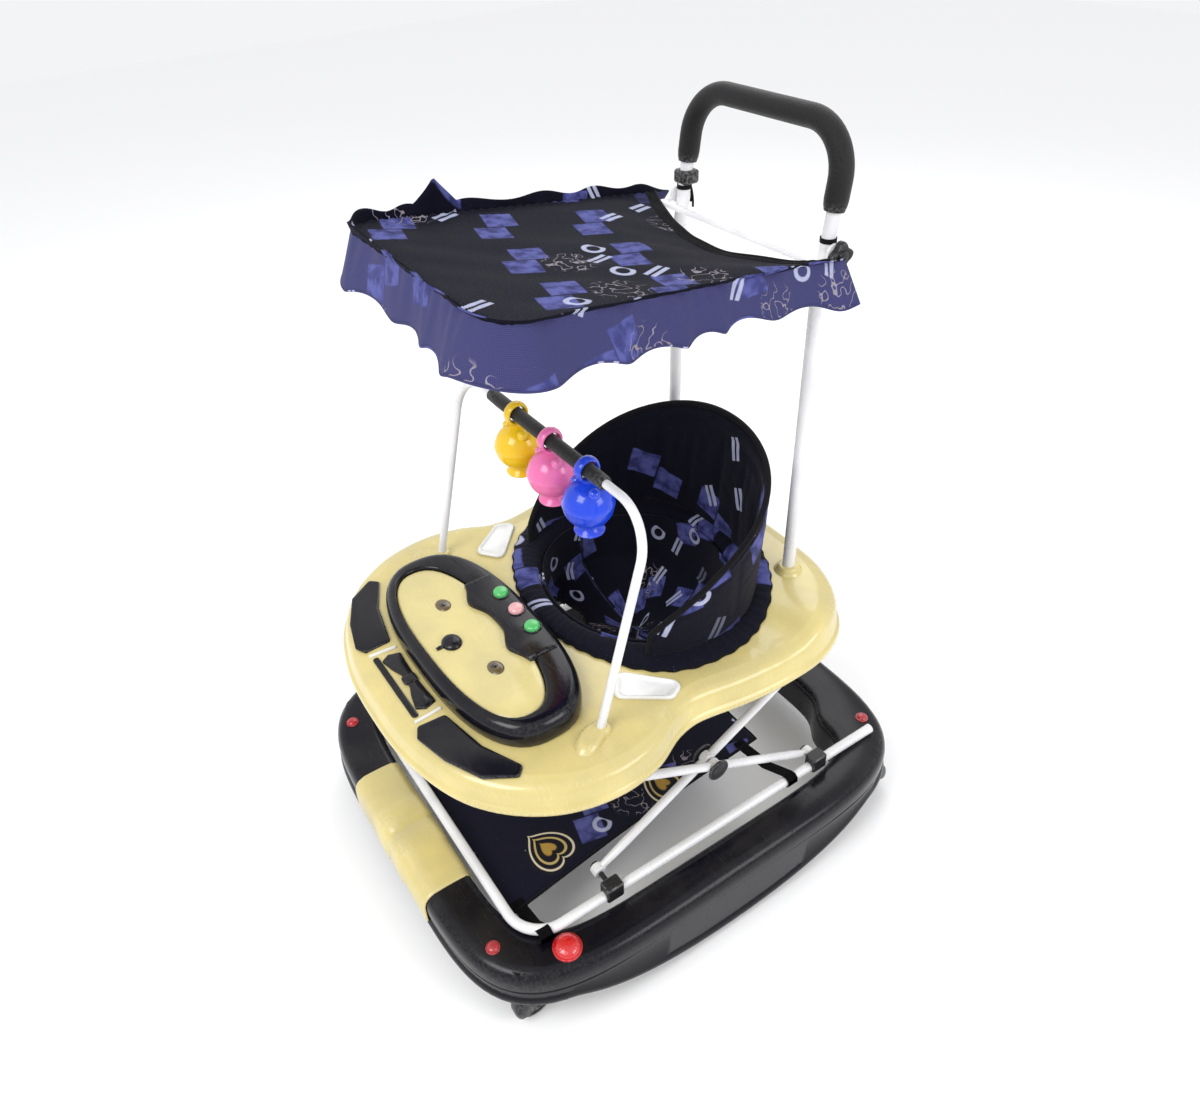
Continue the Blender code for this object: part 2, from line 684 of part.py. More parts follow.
def tray_rails():
    """Tube frame under the deck, one on each side, with the lug of an inner leg's upper pivot."""
    top_front = deck_height(RAIL_FRONT) - RAIL_TOP_DROP
    top_rear = deck_height(RAIL_REAR) - RAIL_TOP_DROP
    face = INNER_LEG_X - EYE_HALF_WIDTH - 0.0005
    low = (REAR_PIVOT_Y - 0.010, HIGH_PIVOT_Z - 0.010)
    high = (REAR_PIVOT_Y + 0.010, RAIL_Z + 0.004)
    for word, side in (("right", -1), ("left", 1)):
        x = side * RAIL_X
        path = rounded_path(((x, RAIL_FRONT, top_front), (x, RAIL_FRONT, RAIL_Z), (x, RAIL_REAR, RAIL_Z),
                             (x, RAIL_REAR, top_rear)), 0.0075, 3)
        lug = block(*side_box(side, RAIL_X - 0.010, face, low, high), 0.001)
        rail = piece("tray_rail_" + word, tube(path, RAIL_RADIUS), "white_tube", "tray", lug)
        pivot = pin(side, face, INNER_LEG_X + EYE_HALF_WIDTH + 0.0005, REAR_PIVOT_Y, HIGH_PIVOT_Z)
        step = rail.modifiers.new("pin", "BOOLEAN")
        step.operation = "UNION"
        step.use_self = True
        step.object = helper("rail_pin_" + word, merged(*pivot))


def snack_cups():
    """Shallow three-cornered dishes of white plastic set on the deck."""
    corners = ((0.142, -0.072), (0.178, -0.100), (0.222, -0.040), (0.207, -0.012))
    for word, side in (("right", -1), ("left", 1)):
        outline = rounded_loop(corners, 0.010, 3)
        middle = sum(outline, Vector()) / len(outline)
        rings = []
        for shrink, z in ((0.97, GAP), (1.0, 0.002), (0.95, 0.006), (0.88, 0.006), (0.80, 0.002)):
            ring = [middle + (point - middle) * shrink for point in outline]
            rings.append([(side * p.x, p.y, TRAY_DECK + z) for p in ring])
        piece("snack_cup_" + word, skin(rings), "white_plastic", "tray")


# ---------------------------------------------------------------- play console

def play_console():
    """Black housing with a raised rim and a recess for the face plate."""
    low = TRAY_DECK + GAP
    wall = ((0.002, low), (0, low + 0.016), (0.003, CONSOLE_TOP - 0.005), (0.009, CONSOLE_TOP))
    rings = [oval(CONSOLE_Y, CONSOLE_HALF_LENGTH - inset, CONSOLE_HALF_WIDTH - inset, 2.6, z)
             for inset, z in wall]
    rings += [oval(FACE_Y, FACE_HALF_LENGTH + grow, FACE_HALF_WIDTH + grow, 2.4, z)
              for grow, z in ((0.002, CONSOLE_TOP), (0.0006, CONSOLE_TOP - 0.003), (0.0006, FACE_FLOOR))]
    piece("play_console", skin(rings), "black_plastic", "tray")
    plate = [oval(FACE_Y, FACE_HALF_LENGTH - inset, FACE_HALF_WIDTH - inset, 2.4, z)
             for inset, z in ((0, FACE_FLOOR + GAP), (0, FACE_FLOOR + 0.003), (0.002, FACE_FLOOR + 0.005))]
    piece("face_plate", skin(plate), "cream_plastic", "tray")


def button_panel():
    """Rounded patch behind the face, with a hole for each button."""
    outline = []
    for i in range(32):
        angle = math.tau * i / 32
        r = superellipse(0.078, 0.022, 2.6, angle)
        outline.append((r * math.cos(angle), BUTTON_PANEL_Y + r * math.sin(angle)))
    low = CONSOLE_TOP + GAP
    bores = []
    for x in BUTTON_PLACES.values():
        bores.append(rod((x, BUTTON_Y, low - 0.005), (x, BUTTON_Y, low + 0.01), BUTTON_RADIUS + 0.0005, 20))
    piece("button_panel", outline_plate(outline, low, low + 0.0032, 0.001), "black_plastic", "tray",
          cut=merged(*bores))
    profile = ((BUTTON_TRAVEL + GAP, BUTTON_RADIUS), (0.0068, BUTTON_RADIUS), (0.0088, BUTTON_RADIUS - 0.003))
    for word, x in BUTTON_PLACES.items():
        slot = "pink_plastic" if word == "middle" else "green_plastic"
        piece("button_" + word, turned((x, BUTTON_Y, low), (0, 0, 1), profile, 18), slot, "button_" + word)


def console_trim():
    """Black ear panels and the tie-shaped inlay in front of the console."""
    low = TRAY_DECK + GAP
    corners = ((0.078, -0.2835), (0.176, -0.252), (0.208, -0.262), (0.186, -0.294), (0.104, -0.318))
    ear = [(point.x, point.y) for point in rounded_loop(corners, 0.008, 3)]
    for word, side in (("right", -1), ("left", 1)):
        outline = [(side * x, y) for x, y in ear]
        piece("ear_panel_" + word, outline_plate(outline, low, low + 0.004, 0.0015), "black_plastic", "tray")
    half = [(0.012, -0.286), (0.048, -0.281), (0.054, -0.300), (0.046, -0.312), (0.012, -0.303)]
    tie = half + [(-x, y) for x, y in half[::-1]]
    piece("tie_inlay", outline_plate(tie, low, low + 0.003, 0.001), "black_plastic", "tray")


# ---------------------------------------------------------------- toy bar

def toy_bar():
    foot = (BAR_FOOT_X, BAR_FOOT_Y, TRAY_DECK + 0.0125)
    shoulder = (BAR_FOOT_X + 0.006, BAR_TOP_Y, BAR_TOP_Z)
    corners = [(-foot[0], *foot[1:]), (-shoulder[0], *shoulder[1:]), shoulder, foot]
    piece("toy_bar", tube(rounded_path(corners, 0.055, 6), BAR_RADIUS), "white_tube", "tray")
    ends = ((-SLEEVE_HALF_LENGTH, BAR_TOP_Y, BAR_TOP_Z), (SLEEVE_HALF_LENGTH, BAR_TOP_Y, BAR_TOP_Z))
    piece("bar_sleeve", sleeve(ends, SLEEVE_RADIUS, BAR_RADIUS + GAP), "foam", "tray")


def toys():
    """Ball-shaped rattles with a flared foot, each hung on the sleeve by a ring."""
    slots = {"toy_yellow": "yellow_plastic", "toy_pink": "pink_plastic", "toy_blue": "blue_plastic"}
    for name, x in TOY_PLACES:
        profile = [(0.0125, 0.007)]
        for k in range(1, 8):
            polar = math.pi * k / 8
            profile.append((TOY_DROP - TOY_RADIUS * math.cos(polar), TOY_RADIUS * math.sin(polar)))
        profile += [(TOY_DROP + TOY_RADIUS + 0.004, 0.017), (TOY_DROP + TOY_RADIUS + 0.008, 0.019)]
        ball = turned((x, BAR_TOP_Y, BAR_TOP_Z), (0, 0, -1), profile, 14)
        ring = turned((x, BAR_TOP_Y, BAR_TOP_Z), (1, 0, 0), ((-0.007, 0.0165), (0.007, 0.0165)))
        clear = SLEEVE_RADIUS + 0.0007
        bore = turned((x, BAR_TOP_Y, BAR_TOP_Z), (1, 0, 0), ((-0.02, clear), (0.02, clear)))
        piece(name, ball, slots[name], name, ring, bore)


# ---------------------------------------------------------------- seat

def seat_ring(inset, z, share=1.0, count=32):
    """A ring round the opening, inset from its edge; share shrinks it towards the middle."""
    ring = []
    for i in range(count):
        angle = math.tau * i / count
        r = (opening(angle) - inset) * share
        ring.append((r * math.cos(angle), OPENING_Y + r * math.sin(angle), z))
    return ring


def collar_ring(inset, lift, count=32):
    """A ring over the deck, narrower in front, where the collar meets the console."""
    ring = []
    for i in range(count):
        angle = math.tau * i / count
        front = smoothstep(0.3, 1.0, -math.sin(angle))
        narrowed = 1 - 0.40 * front if inset < 0 else 1
        ring.append(around_opening(angle, opening(angle) - inset * narrowed, lift))
    return ring


def seat_sling():
    """A cloth bucket with two leg holes, hung from the tray by a padded collar on the deck."""
    low = SEAT_LOW
    bowl = ((0, 0.2), (0.003, 0.55), (0.018, 0.82), (0.045, 0.95), (0.08, 1.0))
    lining = ((0.08, 1.0), (0.047, 0.93), (0.024, 0.80), (0.009, 0.54), (0.005, 0.2))
    brim = ((0.003, 0.001), (-COLLAR_WIDTH, 0.001), (-COLLAR_WIDTH - 0.003, 0.003),
            (-COLLAR_WIDTH + 0.002, 0.007), (-0.006, 0.0085), (0.003 + CLOTH, 0.003))
    outside = [seat_ring(0.003, low + z, share) for z, share in bowl]
    collar = [collar_ring(inset, lift) for inset, lift in brim]
    inside = [seat_ring(0.003 + CLOTH, low + z, share) for z, share in lining]
    holes = [rod((side * 0.062, 0.02, 0.318), (side * 0.075, -0.12, 0.262), 0.040, 14) for side in (-1, 1)]
    piece("seat_sling", skin(outside + collar + inside), "seat_fabric", "tray", cut=merged(*holes))


def back_top(angle):
    """Height of the padded back's upper edge, by the angle from the rear."""
    return TRAY_DECK + 0.025 + BACK_RISE * max(math.cos(angle * 0.73), 0.0) ** 0.8


def seat_back():
    """Padded wall that wraps round the back and both sides of the seat."""
    count = 25
    rings = []
    for i in range(count):
        angle = math.radians(BACK_SPAN) * (2 * i / (count - 1) - 1)
        turn = math.pi / 2 - angle
        r = superellipse(BACK_HALF_WIDTH, BACK_HALF_LENGTH, 2.2, turn)
        y = OPENING_Y + r * math.sin(turn)
        low = deck_height(y) + 0.0095
        high = max(back_top(angle), low + 0.02)
        lean = BACK_LEAN * (high - low) / BACK_RISE
        middle = (low + high) / 2
        outer = ((0, low, 0), (0, middle, 0.5), (0.001, high - 0.006, 1), (0.005, high, 1))
        inner = ((BACK_THICKNESS - 0.005, high, 1), (BACK_THICKNESS, high - 0.006, 1),
                 (BACK_THICKNESS + 0.002, middle, 0.5), (BACK_THICKNESS, low, 0))
        ring = []
        for inset, z, back in outer + inner:
            reach = r - inset
            ring.append((reach * math.cos(turn), OPENING_Y + reach * math.sin(turn) + back * lean, z))
        rings.append(ring)
    piece("seat_back", skin(rings), "seat_fabric", "tray")


# ---------------------------------------------------------------- push handle

def handle_point(x, z):
    """A point in the leaning plane of the upper handle."""
    return (x, HANDLE_JOIN_Y + HANDLE_LEAN * (z - POST_TOP), z)


def handle_path(low):
    corners = [handle_point(-POST_X, low), handle_point(-POST_X, HANDLE_TOP)]
    corners += [(-x, y, z) for x, y, z in corners[::-1]]
    return rounded_path(corners, HANDLE_CORNER, 6)


def posts_and_handle():
    foot = deck_height(POST_FOOT_Y) + 0.0106
    for word, side in (("right", -1), ("left", 1)):
        ends = ((side * POST_X, POST_FOOT_Y, foot), (side * POST_X, HANDLE_JOIN_Y, POST_TOP - GAP))
        piece("post_" + word, rod(*ends, POST_RADIUS), "white_tube", "tray")
    piece("handle_arch", tube(handle_path(POST_TOP + 0.002), POST_RADIUS), "white_tube", "tray")
    piece("foam_grip", sleeve(handle_path(GRIP_LOW), GRIP_RADIUS, POST_RADIUS + 0.0005, 10), "foam", "tray")


# ---------------------------------------------------------------- canopy

def canopy_top(y):
    """Height of the canopy's cloth along its length."""
    return CANOPY_REAR_Z + CANOPY_SLOPE * (CANOPY_REAR - y)


def canopy_frame():
    """Wire frame along the canopy's edges, with a hub beside each post."""
    middle = CANOPY_CLOTH + FRAME_RADIUS + 0.001
    rear, front, chamfer = CANOPY_REAR - 0.008, CANOPY_FRONT + 0.018, 0.034
    half = [(0, rear), (FRAME_X, rear), (FRAME_X, front + chamfer), (FRAME_X - chamfer, front)]
    outline = half + [(-x, y) for x, y in half[::-1]]
    path = rounded_path([(x, y, canopy_top(y) - middle) for x, y in outline], 0.025, 4)
    wire = skin(sweep(path, FRAME_RADIUS, 8)[:-1], closed=True)
    hubs = []
    for side in (-1, 1):
        near = POST_X + POST_RADIUS + 0.001
        hubs.append(rod((side * near, TILT_Y, TILT_Z), (side * (near + 0.007), TILT_Y, TILT_Z), 0.011, 16))
        arm_low, arm_high = side_box(side, near + 0.001, near + 0.006, (CANOPY_REAR - 0.015, TILT_Z - 0.011),
                                     (TILT_Y, TILT_Z - 0.002))
        hubs.append(block(arm_low, arm_high))
    piece("canopy_frame", wire, "white_tube", "canopy", merged(*hubs))


def canopy_outline(grow):
    """Plan outline of the canopy, a rectangle with round corners, grown outward."""
    half_length = (CANOPY_REAR - CANOPY_FRONT) / 2 + grow
    centre = (CANOPY_REAR + CANOPY_FRONT) / 2
    points = []
    count = 48
    for i in range(count):
        angle = math.tau * i / count
        squareness = 24 if math.sin(angle) > 0 else 7
        r = superellipse(CANOPY_HALF_WIDTH + grow, half_length, squareness, angle)
        points.append((r * math.cos(angle), centre + r * math.sin(angle)))
    return points


def canopy_layer(steps):
    """Rings of one face of the cloth: how far each is grown, its drop, and its drop along the rear edge."""
    layer = []
    for grow, drop, rear_drop in steps:
        ring = []
        for (x, y), (rear_x, rear_y) in zip(canopy_outline(grow), canopy_outline(min(grow, 0.0))):
            rear = smoothstep(CANOPY_REAR - 0.032, CANOPY_REAR - 0.012, y)
            fall = drop * (1 - rear) + rear_drop * rear
            x, y = x * (1 - rear) + rear_x * rear, y * (1 - rear) + rear_y * rear
            z = canopy_top(min(max(y, CANOPY_FRONT), CANOPY_REAR)) - fall
            ring.append((x, y, z))
        layer.append(ring)
    return layer


def canopy_fabric():
    """Cloth shell open below: a taut top and a valance that flares a little, with none at the rear."""
    half, full = CANOPY_FLARE / 2, CANOPY_FLARE
    outside = ((-0.10, 0, 0), (-0.012, 0, 0), (0, 0.004, 0.0006), (0.001, 0.010, 0.0014),
               (half, CANOPY_DROP / 2, 0.0020), (full, CANOPY_DROP, 0.0026))
    inside = ((full - 0.0035, CANOPY_DROP, 0.0030), (half - 0.0035, CANOPY_DROP / 2, 0.0034),
              (-0.0035, 0.012, 0.0037), (-0.008, CANOPY_CLOTH, 0.0039), (-0.016, CANOPY_CLOTH, CANOPY_CLOTH),
              (-0.10, CANOPY_CLOTH, CANOPY_CLOTH))
    piece("canopy_fabric", skin(canopy_layer(outside) + canopy_layer(inside)), "canopy_fabric", "canopy")


def canopy_fixings():
    """A four-lobed locking knob on the left post and a clip on the right one."""
    x = POST_X + POST_RADIUS + 0.0085 + 0.0005
    outline = []
    for i in range(24):
        angle = math.tau * i / 24
        r = 0.0145 + 0.0025 * math.cos(4 * angle)
        outline.append((r * math.cos(angle), r * math.sin(angle)))
    rings = [[(x + s, TILT_Y + a * k, TILT_Z + b * k) for a, b in outline]
             for s, k in ((0, 0.9), (0.002, 1.0), (0.008, 1.0), (0.011, 0.75))]
    piece("canopy_knob", skin(rings), "black_plastic", "canopy_knob")
    y = TILT_Y + HANDLE_LEAN * 0.03
    low = (-POST_X - POST_RADIUS - 0.0045, y - 0.012, TILT_Z + 0.016)
    high = (-POST_X + POST_RADIUS + 0.0045, y + 0.013, TILT_Z + 0.034)
    ends = (handle_point(-POST_X, TILT_Z + 0.005), handle_point(-POST_X, TILT_Z + 0.045))
    bore = rod(*ends, POST_RADIUS + 0.001, 16)
    piece("canopy_clip", block(low, high, 0.003), "black_plastic", "tray", cut=bore)


# ---------------------------------------------------------------- assembly

def body_places():
    places = {"base": (0, 0, 0), "outer_legs": (0, REAR_PIVOT_Y, LOW_PIVOT_Z),
              "inner_legs": (0, MID_PIVOT_Y, MID_PIVOT_Z), "tray": (0, REAR_PIVOT_Y, HIGH_PIVOT_Z),
              "upper_shoes": (0, FRONT_PIVOT_Y, HIGH_PIVOT_Z), "lower_shoes": (0, FRONT_PIVOT_Y, LOW_PIVOT_Z),
              "canopy": (0, TILT_Y, TILT_Z), "canopy_knob": (POST_X, TILT_Y, TILT_Z)}
    for word, (x, y) in zip(CASTER_NAMES, caster_places()):
        places["swivel_" + word] = (x, y, HOOD_TOP)
        places["wheel_" + word] = (x, y + CASTER_TRAIL, WHEEL_RADIUS)
    for word, x in BUTTON_PLACES.items():
        places["button_" + word] = (x, BUTTON_Y, CONSOLE_TOP)
    for name, x in TOY_PLACES:
        places[name] = (x, BAR_TOP_Y, BAR_TOP_Z)
    return places


clear_scene()
SLOTS = make_materials()
BODIES = {name: body_empty(name, place) for name, place in body_places().items()}
for make in (base_ring, front_panel, studs_and_reflectors, base_tube, foot_mat, casters, legs, pivot_hubs,
             tube_brackets, upper_shoes, tray_shell, tray_rails, snack_cups, play_console, button_panel,
             console_trim, toy_bar, toys, seat_sling, seat_back, posts_and_handle, canopy_frame,
             canopy_fabric, canopy_fixings):
    make()
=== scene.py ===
"""Looks of the baby walker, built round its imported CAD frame.

Metres, +Z up. The child looks along -Y and the child's left is +X. The sections follow the object as it
is put together, from the rocker base up to the canopy."""
import math

import bmesh
import bpy
from mathutils import Matrix, Vector, noise


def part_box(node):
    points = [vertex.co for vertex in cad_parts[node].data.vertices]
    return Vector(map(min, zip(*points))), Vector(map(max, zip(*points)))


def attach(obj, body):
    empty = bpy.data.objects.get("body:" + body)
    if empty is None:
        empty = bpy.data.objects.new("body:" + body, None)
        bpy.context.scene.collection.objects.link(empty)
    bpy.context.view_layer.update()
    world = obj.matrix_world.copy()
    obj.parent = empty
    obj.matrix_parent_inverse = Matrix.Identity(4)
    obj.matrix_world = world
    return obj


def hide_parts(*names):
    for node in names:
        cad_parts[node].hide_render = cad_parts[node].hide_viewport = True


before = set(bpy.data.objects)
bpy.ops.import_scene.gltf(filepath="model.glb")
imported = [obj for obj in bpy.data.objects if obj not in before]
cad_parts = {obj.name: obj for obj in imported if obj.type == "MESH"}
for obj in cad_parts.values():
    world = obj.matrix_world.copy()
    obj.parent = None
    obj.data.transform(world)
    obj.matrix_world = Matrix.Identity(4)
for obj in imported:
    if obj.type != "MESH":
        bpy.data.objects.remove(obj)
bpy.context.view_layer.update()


# ---------------------------------------------------------------- studio
# A plain pale floor, one large soft light over the camera's left shoulder, a weaker one on the other
# side and an even pale surround. The camera looks down on the child's left front corner.

CAMERA_PLACE = Vector((0.8766, -0.5637, 1.2615))
CAMERA_AZIMUTH = 58.28
CAMERA_ELEVATION = 34.15
CAMERA_ROLL = -2.985
CAMERA_LENS = 29.25
CAMERA_SHIFT = (0.0169, -0.0603)
FLOOR_SIZE = 14.0
FLOOR_COLOUR = (0.97, 0.97, 0.97, 1.0)
FLOOR_ROUGHNESS = 0.7
SURROUND_COLOUR = (0.98, 0.985, 1.0, 1.0)
SURROUND_STRENGTH = 0.92
LIGHTS_AIM = Vector((0, 0, 0.4))
LIGHTS = (("key", (0.5, -2.0, 2.5), 1.4, 44.0), ("side", (2.2, 0.9, 1.7), 1.2, 20.0),
          ("back", (-1.6, 1.6, 2.2), 1.6, 16.0))


def studio_camera():
    camera = bpy.data.objects.new("camera", bpy.data.cameras.new("camera"))
    bpy.context.scene.collection.objects.link(camera)
    camera.data.lens = CAMERA_LENS
    camera.data.shift_x, camera.data.shift_y = CAMERA_SHIFT
    turn = Matrix.Rotation(math.radians(CAMERA_AZIMUTH), 4, "Z")
    tip = Matrix.Rotation(math.radians(90 - CAMERA_ELEVATION), 4, "X")
    roll = Matrix.Rotation(math.radians(CAMERA_ROLL), 4, "Z")
    camera.matrix_world = Matrix.Translation(CAMERA_PLACE) @ turn @ tip @ roll
    bpy.context.scene.camera = camera


def studio_lights():
    for word, place, size, power in LIGHTS:
        lamp = bpy.data.lights.new(word, "AREA")
        lamp.size = size
        lamp.energy = power
        light = bpy.data.objects.new(word, lamp)
        bpy.context.scene.collection.objects.link(light)
        light.location = place
        aim = LIGHTS_AIM - Vector(place)
        light.rotation_euler = aim.to_track_quat("-Z", "Y").to_euler()
    world = bpy.data.worlds.new("surround")
    bpy.context.scene.world = world
    world.use_nodes = True
    background = world.node_tree.nodes["Background"]
    background.inputs["Color"].default_value = SURROUND_COLOUR
    background.inputs["Strength"].default_value = SURROUND_STRENGTH
    bpy.context.scene.view_settings.view_transform = "Standard"


def studio_floor():
    bm = bmesh.new()
    bmesh.ops.create_grid(bm, x_segments=1, y_segments=1, size=FLOOR_SIZE / 2)
    mesh = bpy.data.meshes.new("floor")
    bm.to_mesh(mesh)
    bm.free()
    floor = bpy.data.objects.new("floor", mesh)
    bpy.context.scene.collection.objects.link(floor)
    material = bpy.data.materials.new("floor_paper")
    material.use_nodes = True
    shader = material.node_tree.nodes["Principled BSDF"]
    shader.inputs["Base Color"].default_value = FLOOR_COLOUR
    shader.inputs["Roughness"].default_value = FLOOR_ROUGHNESS
    mesh.materials.append(material)


studio_camera()
studio_lights()
studio_floor()


# ---------------------------------------------------------------- rocker base
# One blow-moulded ring in glossy black, open underneath. Its shoulder is rounded, a groove runs under
# it, a rolled rim stiffens the lower edge, and the sides curve down so that the base can rock.

BASE_LOW, BASE_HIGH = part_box("base_ring")
BASE_TOP = BASE_HIGH.z
BASE_INNER_X = 0.262
BASE_INNER_Y = 0.296
BASE_OUTER_POWER = 5
BASE_INNER_POWER = 6
BASE_WALL = 0.003
BASE_RIM_LOW = 0.060
ROCKER_REACH = 0.25
ROCKER_CURVE = 2.2
LOBE_DEPTH = 0.022
LOBE_ANGLE = 55.0
LOBE_SPREAD = 6.0
BASE_STATIONS = 200
CASTER_PLACES = {"front_right": (-0.262, -0.304), "front_left": (0.262, -0.304),
                 "rear_right": (-0.262, 0.304), "rear_left": (0.262, 0.304)}
BLACK = (0.003, 0.003, 0.007)


def put(tree, kind, inputs=None, **settings):
    """One shader node. Its inputs are plain values or other nodes' sockets; settings are its own options."""
    made = tree.nodes.new(kind)
    for word, value in settings.items():
        setattr(made, word, value)
    for key, value in (inputs or {}).items():
        if isinstance(value, bpy.types.NodeSocket):
            tree.links.new(value, made.inputs[key])
        else:
            made.inputs[key].default_value = value
    return made


def maths(tree, operation, *values):
    """The answer of one Math node."""
    return put(tree, "ShaderNodeMath", dict(enumerate(values)), operation=operation).outputs[0]


def fade(tree, value, low, high, start=0.0, end=1.0):
    """A value eased from start to end as it goes from low to high."""
    made = put(tree, "ShaderNodeMapRange", {"Value": value, "From Min": low, "From Max": high,
                                            "To Min": start, "To Max": end}, interpolation_type="SMOOTHSTEP")
    return made.outputs["Result"]


def blend(tree, share, first, second):
    """Two colours mixed by a share."""
    made = put(tree, "ShaderNodeMix", data_type="RGBA")
    for socket, value in ((made.inputs[0], share), (made.inputs[6], first), (made.inputs[7], second)):
        if isinstance(value, bpy.types.NodeSocket):
            tree.links.new(value, socket)
        else:
            socket.default_value = value
    return made.outputs[2]


def effect(name, takes, gives):
    """A shader node group with named sockets; returns its tree and its input and output nodes."""
    tree = bpy.data.node_groups.new(name, "ShaderNodeTree")
    kinds = {"value": "NodeSocketFloat", "colour": "NodeSocketColor", "vector": "NodeSocketVector"}
    for word, kind in takes.items():
        tree.interface.new_socket(word, in_out="INPUT", socket_type=kinds[kind])
    for word, kind in gives.items():
        tree.interface.new_socket(word, in_out="OUTPUT", socket_type=kinds[kind])
    return tree, tree.nodes.new("NodeGroupInput").outputs, tree.nodes.new("NodeGroupOutput").inputs


def handling_effect():
    """What handling does to a moulding: pale worn edges, dust on what faces up, rubbed and cloudy gloss,
    and the fine texture of the mould."""
    tree, given, result = effect(
        "handling", {"Colour": "colour", "Wear": "value", "Dust": "value", "Gloss": "value",
                     "Grain": "value"},
        {"Colour": "colour", "Roughness": "value", "Height": "value"})
    place = put(tree, "ShaderNodeTexCoord").outputs["Object"]
    surface = put(tree, "ShaderNodeNewGeometry").outputs
    cloud = put(tree, "ShaderNodeTexNoise", {"Vector": place, "Scale": 14.0, "Detail": 5.0}).outputs["Fac"]
    speck = put(tree, "ShaderNodeTexNoise", {"Vector": place, "Scale": 260.0, "Detail": 3.0}).outputs["Fac"]
    fine = put(tree, "ShaderNodeTexNoise", {"Vector": place, "Scale": 1400.0, "Detail": 1.0}).outputs["Fac"]
    streaked = put(tree, "ShaderNodeMapping", {"Vector": place, "Rotation": (0.3, 0.2, 0.6),
                                               "Scale": (30.0, 420.0, 60.0)}).outputs[0]
    scratch = put(tree, "ShaderNodeTexNoise",
                  {"Vector": streaked, "Scale": 1.0, "Detail": 3.0}).outputs["Fac"]
    scratch = fade(tree, scratch, 0.62, 0.72)
    edge = fade(tree, surface["Pointiness"], 0.515, 0.58)
    worn = maths(tree, "MULTIPLY", edge, fade(tree, speck, 0.40, 0.62))
    worn = maths(tree, "MULTIPLY", worn, given["Wear"])
    up = fade(tree, put(tree, "ShaderNodeSeparateXYZ", {0: surface["Normal"]}).outputs[2], 0.55, 1.0)
    dusty = maths(tree, "MULTIPLY", maths(tree, "MULTIPLY", up, fade(tree, cloud, 0.35, 0.75)), given["Dust"])
    pale = blend(tree, 0.45, given["Colour"], (0.80, 0.79, 0.76, 1.0))
    deep = blend(tree, fade(tree, cloud, 0.3, 0.7, 0.0, 0.16), given["Colour"], (0.02, 0.015, 0.01, 1.0))
    coloured = blend(tree, dusty, blend(tree, worn, deep, pale), (0.62, 0.60, 0.57, 1.0))
    tree.links.new(coloured, result["Colour"])
    rough = maths(tree, "ADD", given["Gloss"], maths(tree, "MULTIPLY", cloud, 0.10))
    rough = maths(tree, "ADD", rough, maths(tree, "MULTIPLY", scratch, 0.14))
    rough = maths(tree, "ADD", rough, maths(tree, "MULTIPLY", maths(tree, "ADD", worn, dusty), 0.30))
    tree.links.new(rough, result["Roughness"])
    relief = maths(tree, "ADD", maths(tree, "MULTIPLY", fine, given["Grain"]),
                   maths(tree, "MULTIPLY", speck, 0.25))
    tree.links.new(maths(tree, "SUBTRACT", relief, maths(tree, "MULTIPLY", scratch, 0.3)), result["Height"])
    return tree


HANDLING = handling_effect()


def moulded(name, colour, gloss=0.25, grain=0.5, wear=0.5, dust=0.1, relief=0.0002, coat=0.0, shine=0.5):
    """A moulded or painted finish that carries the handling effect."""
    material = bpy.data.materials.new(name)
    material.use_nodes = True
    tree = material.node_tree
    shader = tree.nodes["Principled BSDF"]
    used = put(tree, "ShaderNodeGroup", node_tree=HANDLING)
    for word, value in (("Colour", (*colour, 1.0)), ("Wear", wear), ("Dust", dust), ("Gloss", gloss),
                        ("Grain", grain)):
        used.inputs[word].default_value = value
    bump = put(tree, "ShaderNodeBump",
               {"Height": used.outputs["Height"], "Distance": relief, "Strength": 0.6})
    tree.links.new(used.outputs["Colour"], shader.inputs["Base Color"])
    tree.links.new(used.outputs["Roughness"], shader.inputs["Roughness"])
    tree.links.new(bump.outputs[0], shader.inputs["Normal"])
    shader.inputs["Specular IOR Level"].default_value = shine
    shader.inputs["Coat Weight"].default_value = coat
    shader.inputs["Coat Roughness"].default_value = 0.08
    return material


def superellipse(half_x, half_y, power, angle):
    """Distance from the centre to a superellipse in the direction of an angle."""
    c, s = abs(math.cos(angle)) / half_x, abs(math.sin(angle)) / half_y
    return (c ** power + s ** power) ** (-1 / power)


def skin(rings, closed=False, caps=True):
    """A body skinned through rings of equal point counts, capped at its ends or closed on itself."""
    bm = bmesh.new()
    loops = [[bm.verts.new(point) for point in ring] for ring in rings]
    following = loops[1:] + (loops[:1] if closed else [])
    for here, there in zip(loops, following):
        for i in range(len(here)):
            j = (i + 1) % len(here)
            bm.faces.new((here[i], here[j], there[j], there[i]))
    if caps and not closed:
        bm.faces.new(loops[0])
        bm.faces.new(loops[-1])
    return bm


def joined(*meshes):
    """Several closed bodies in one mesh."""
    together = bmesh.new()
    for bm in meshes:
        bmesh.ops.recalc_face_normals(bm, faces=bm.faces)
        mesh = bpy.data.meshes.new("joined")
        bm.to_mesh(mesh)
        bm.free()
        together.from_mesh(mesh)
        bpy.data.meshes.remove(mesh)
    return together


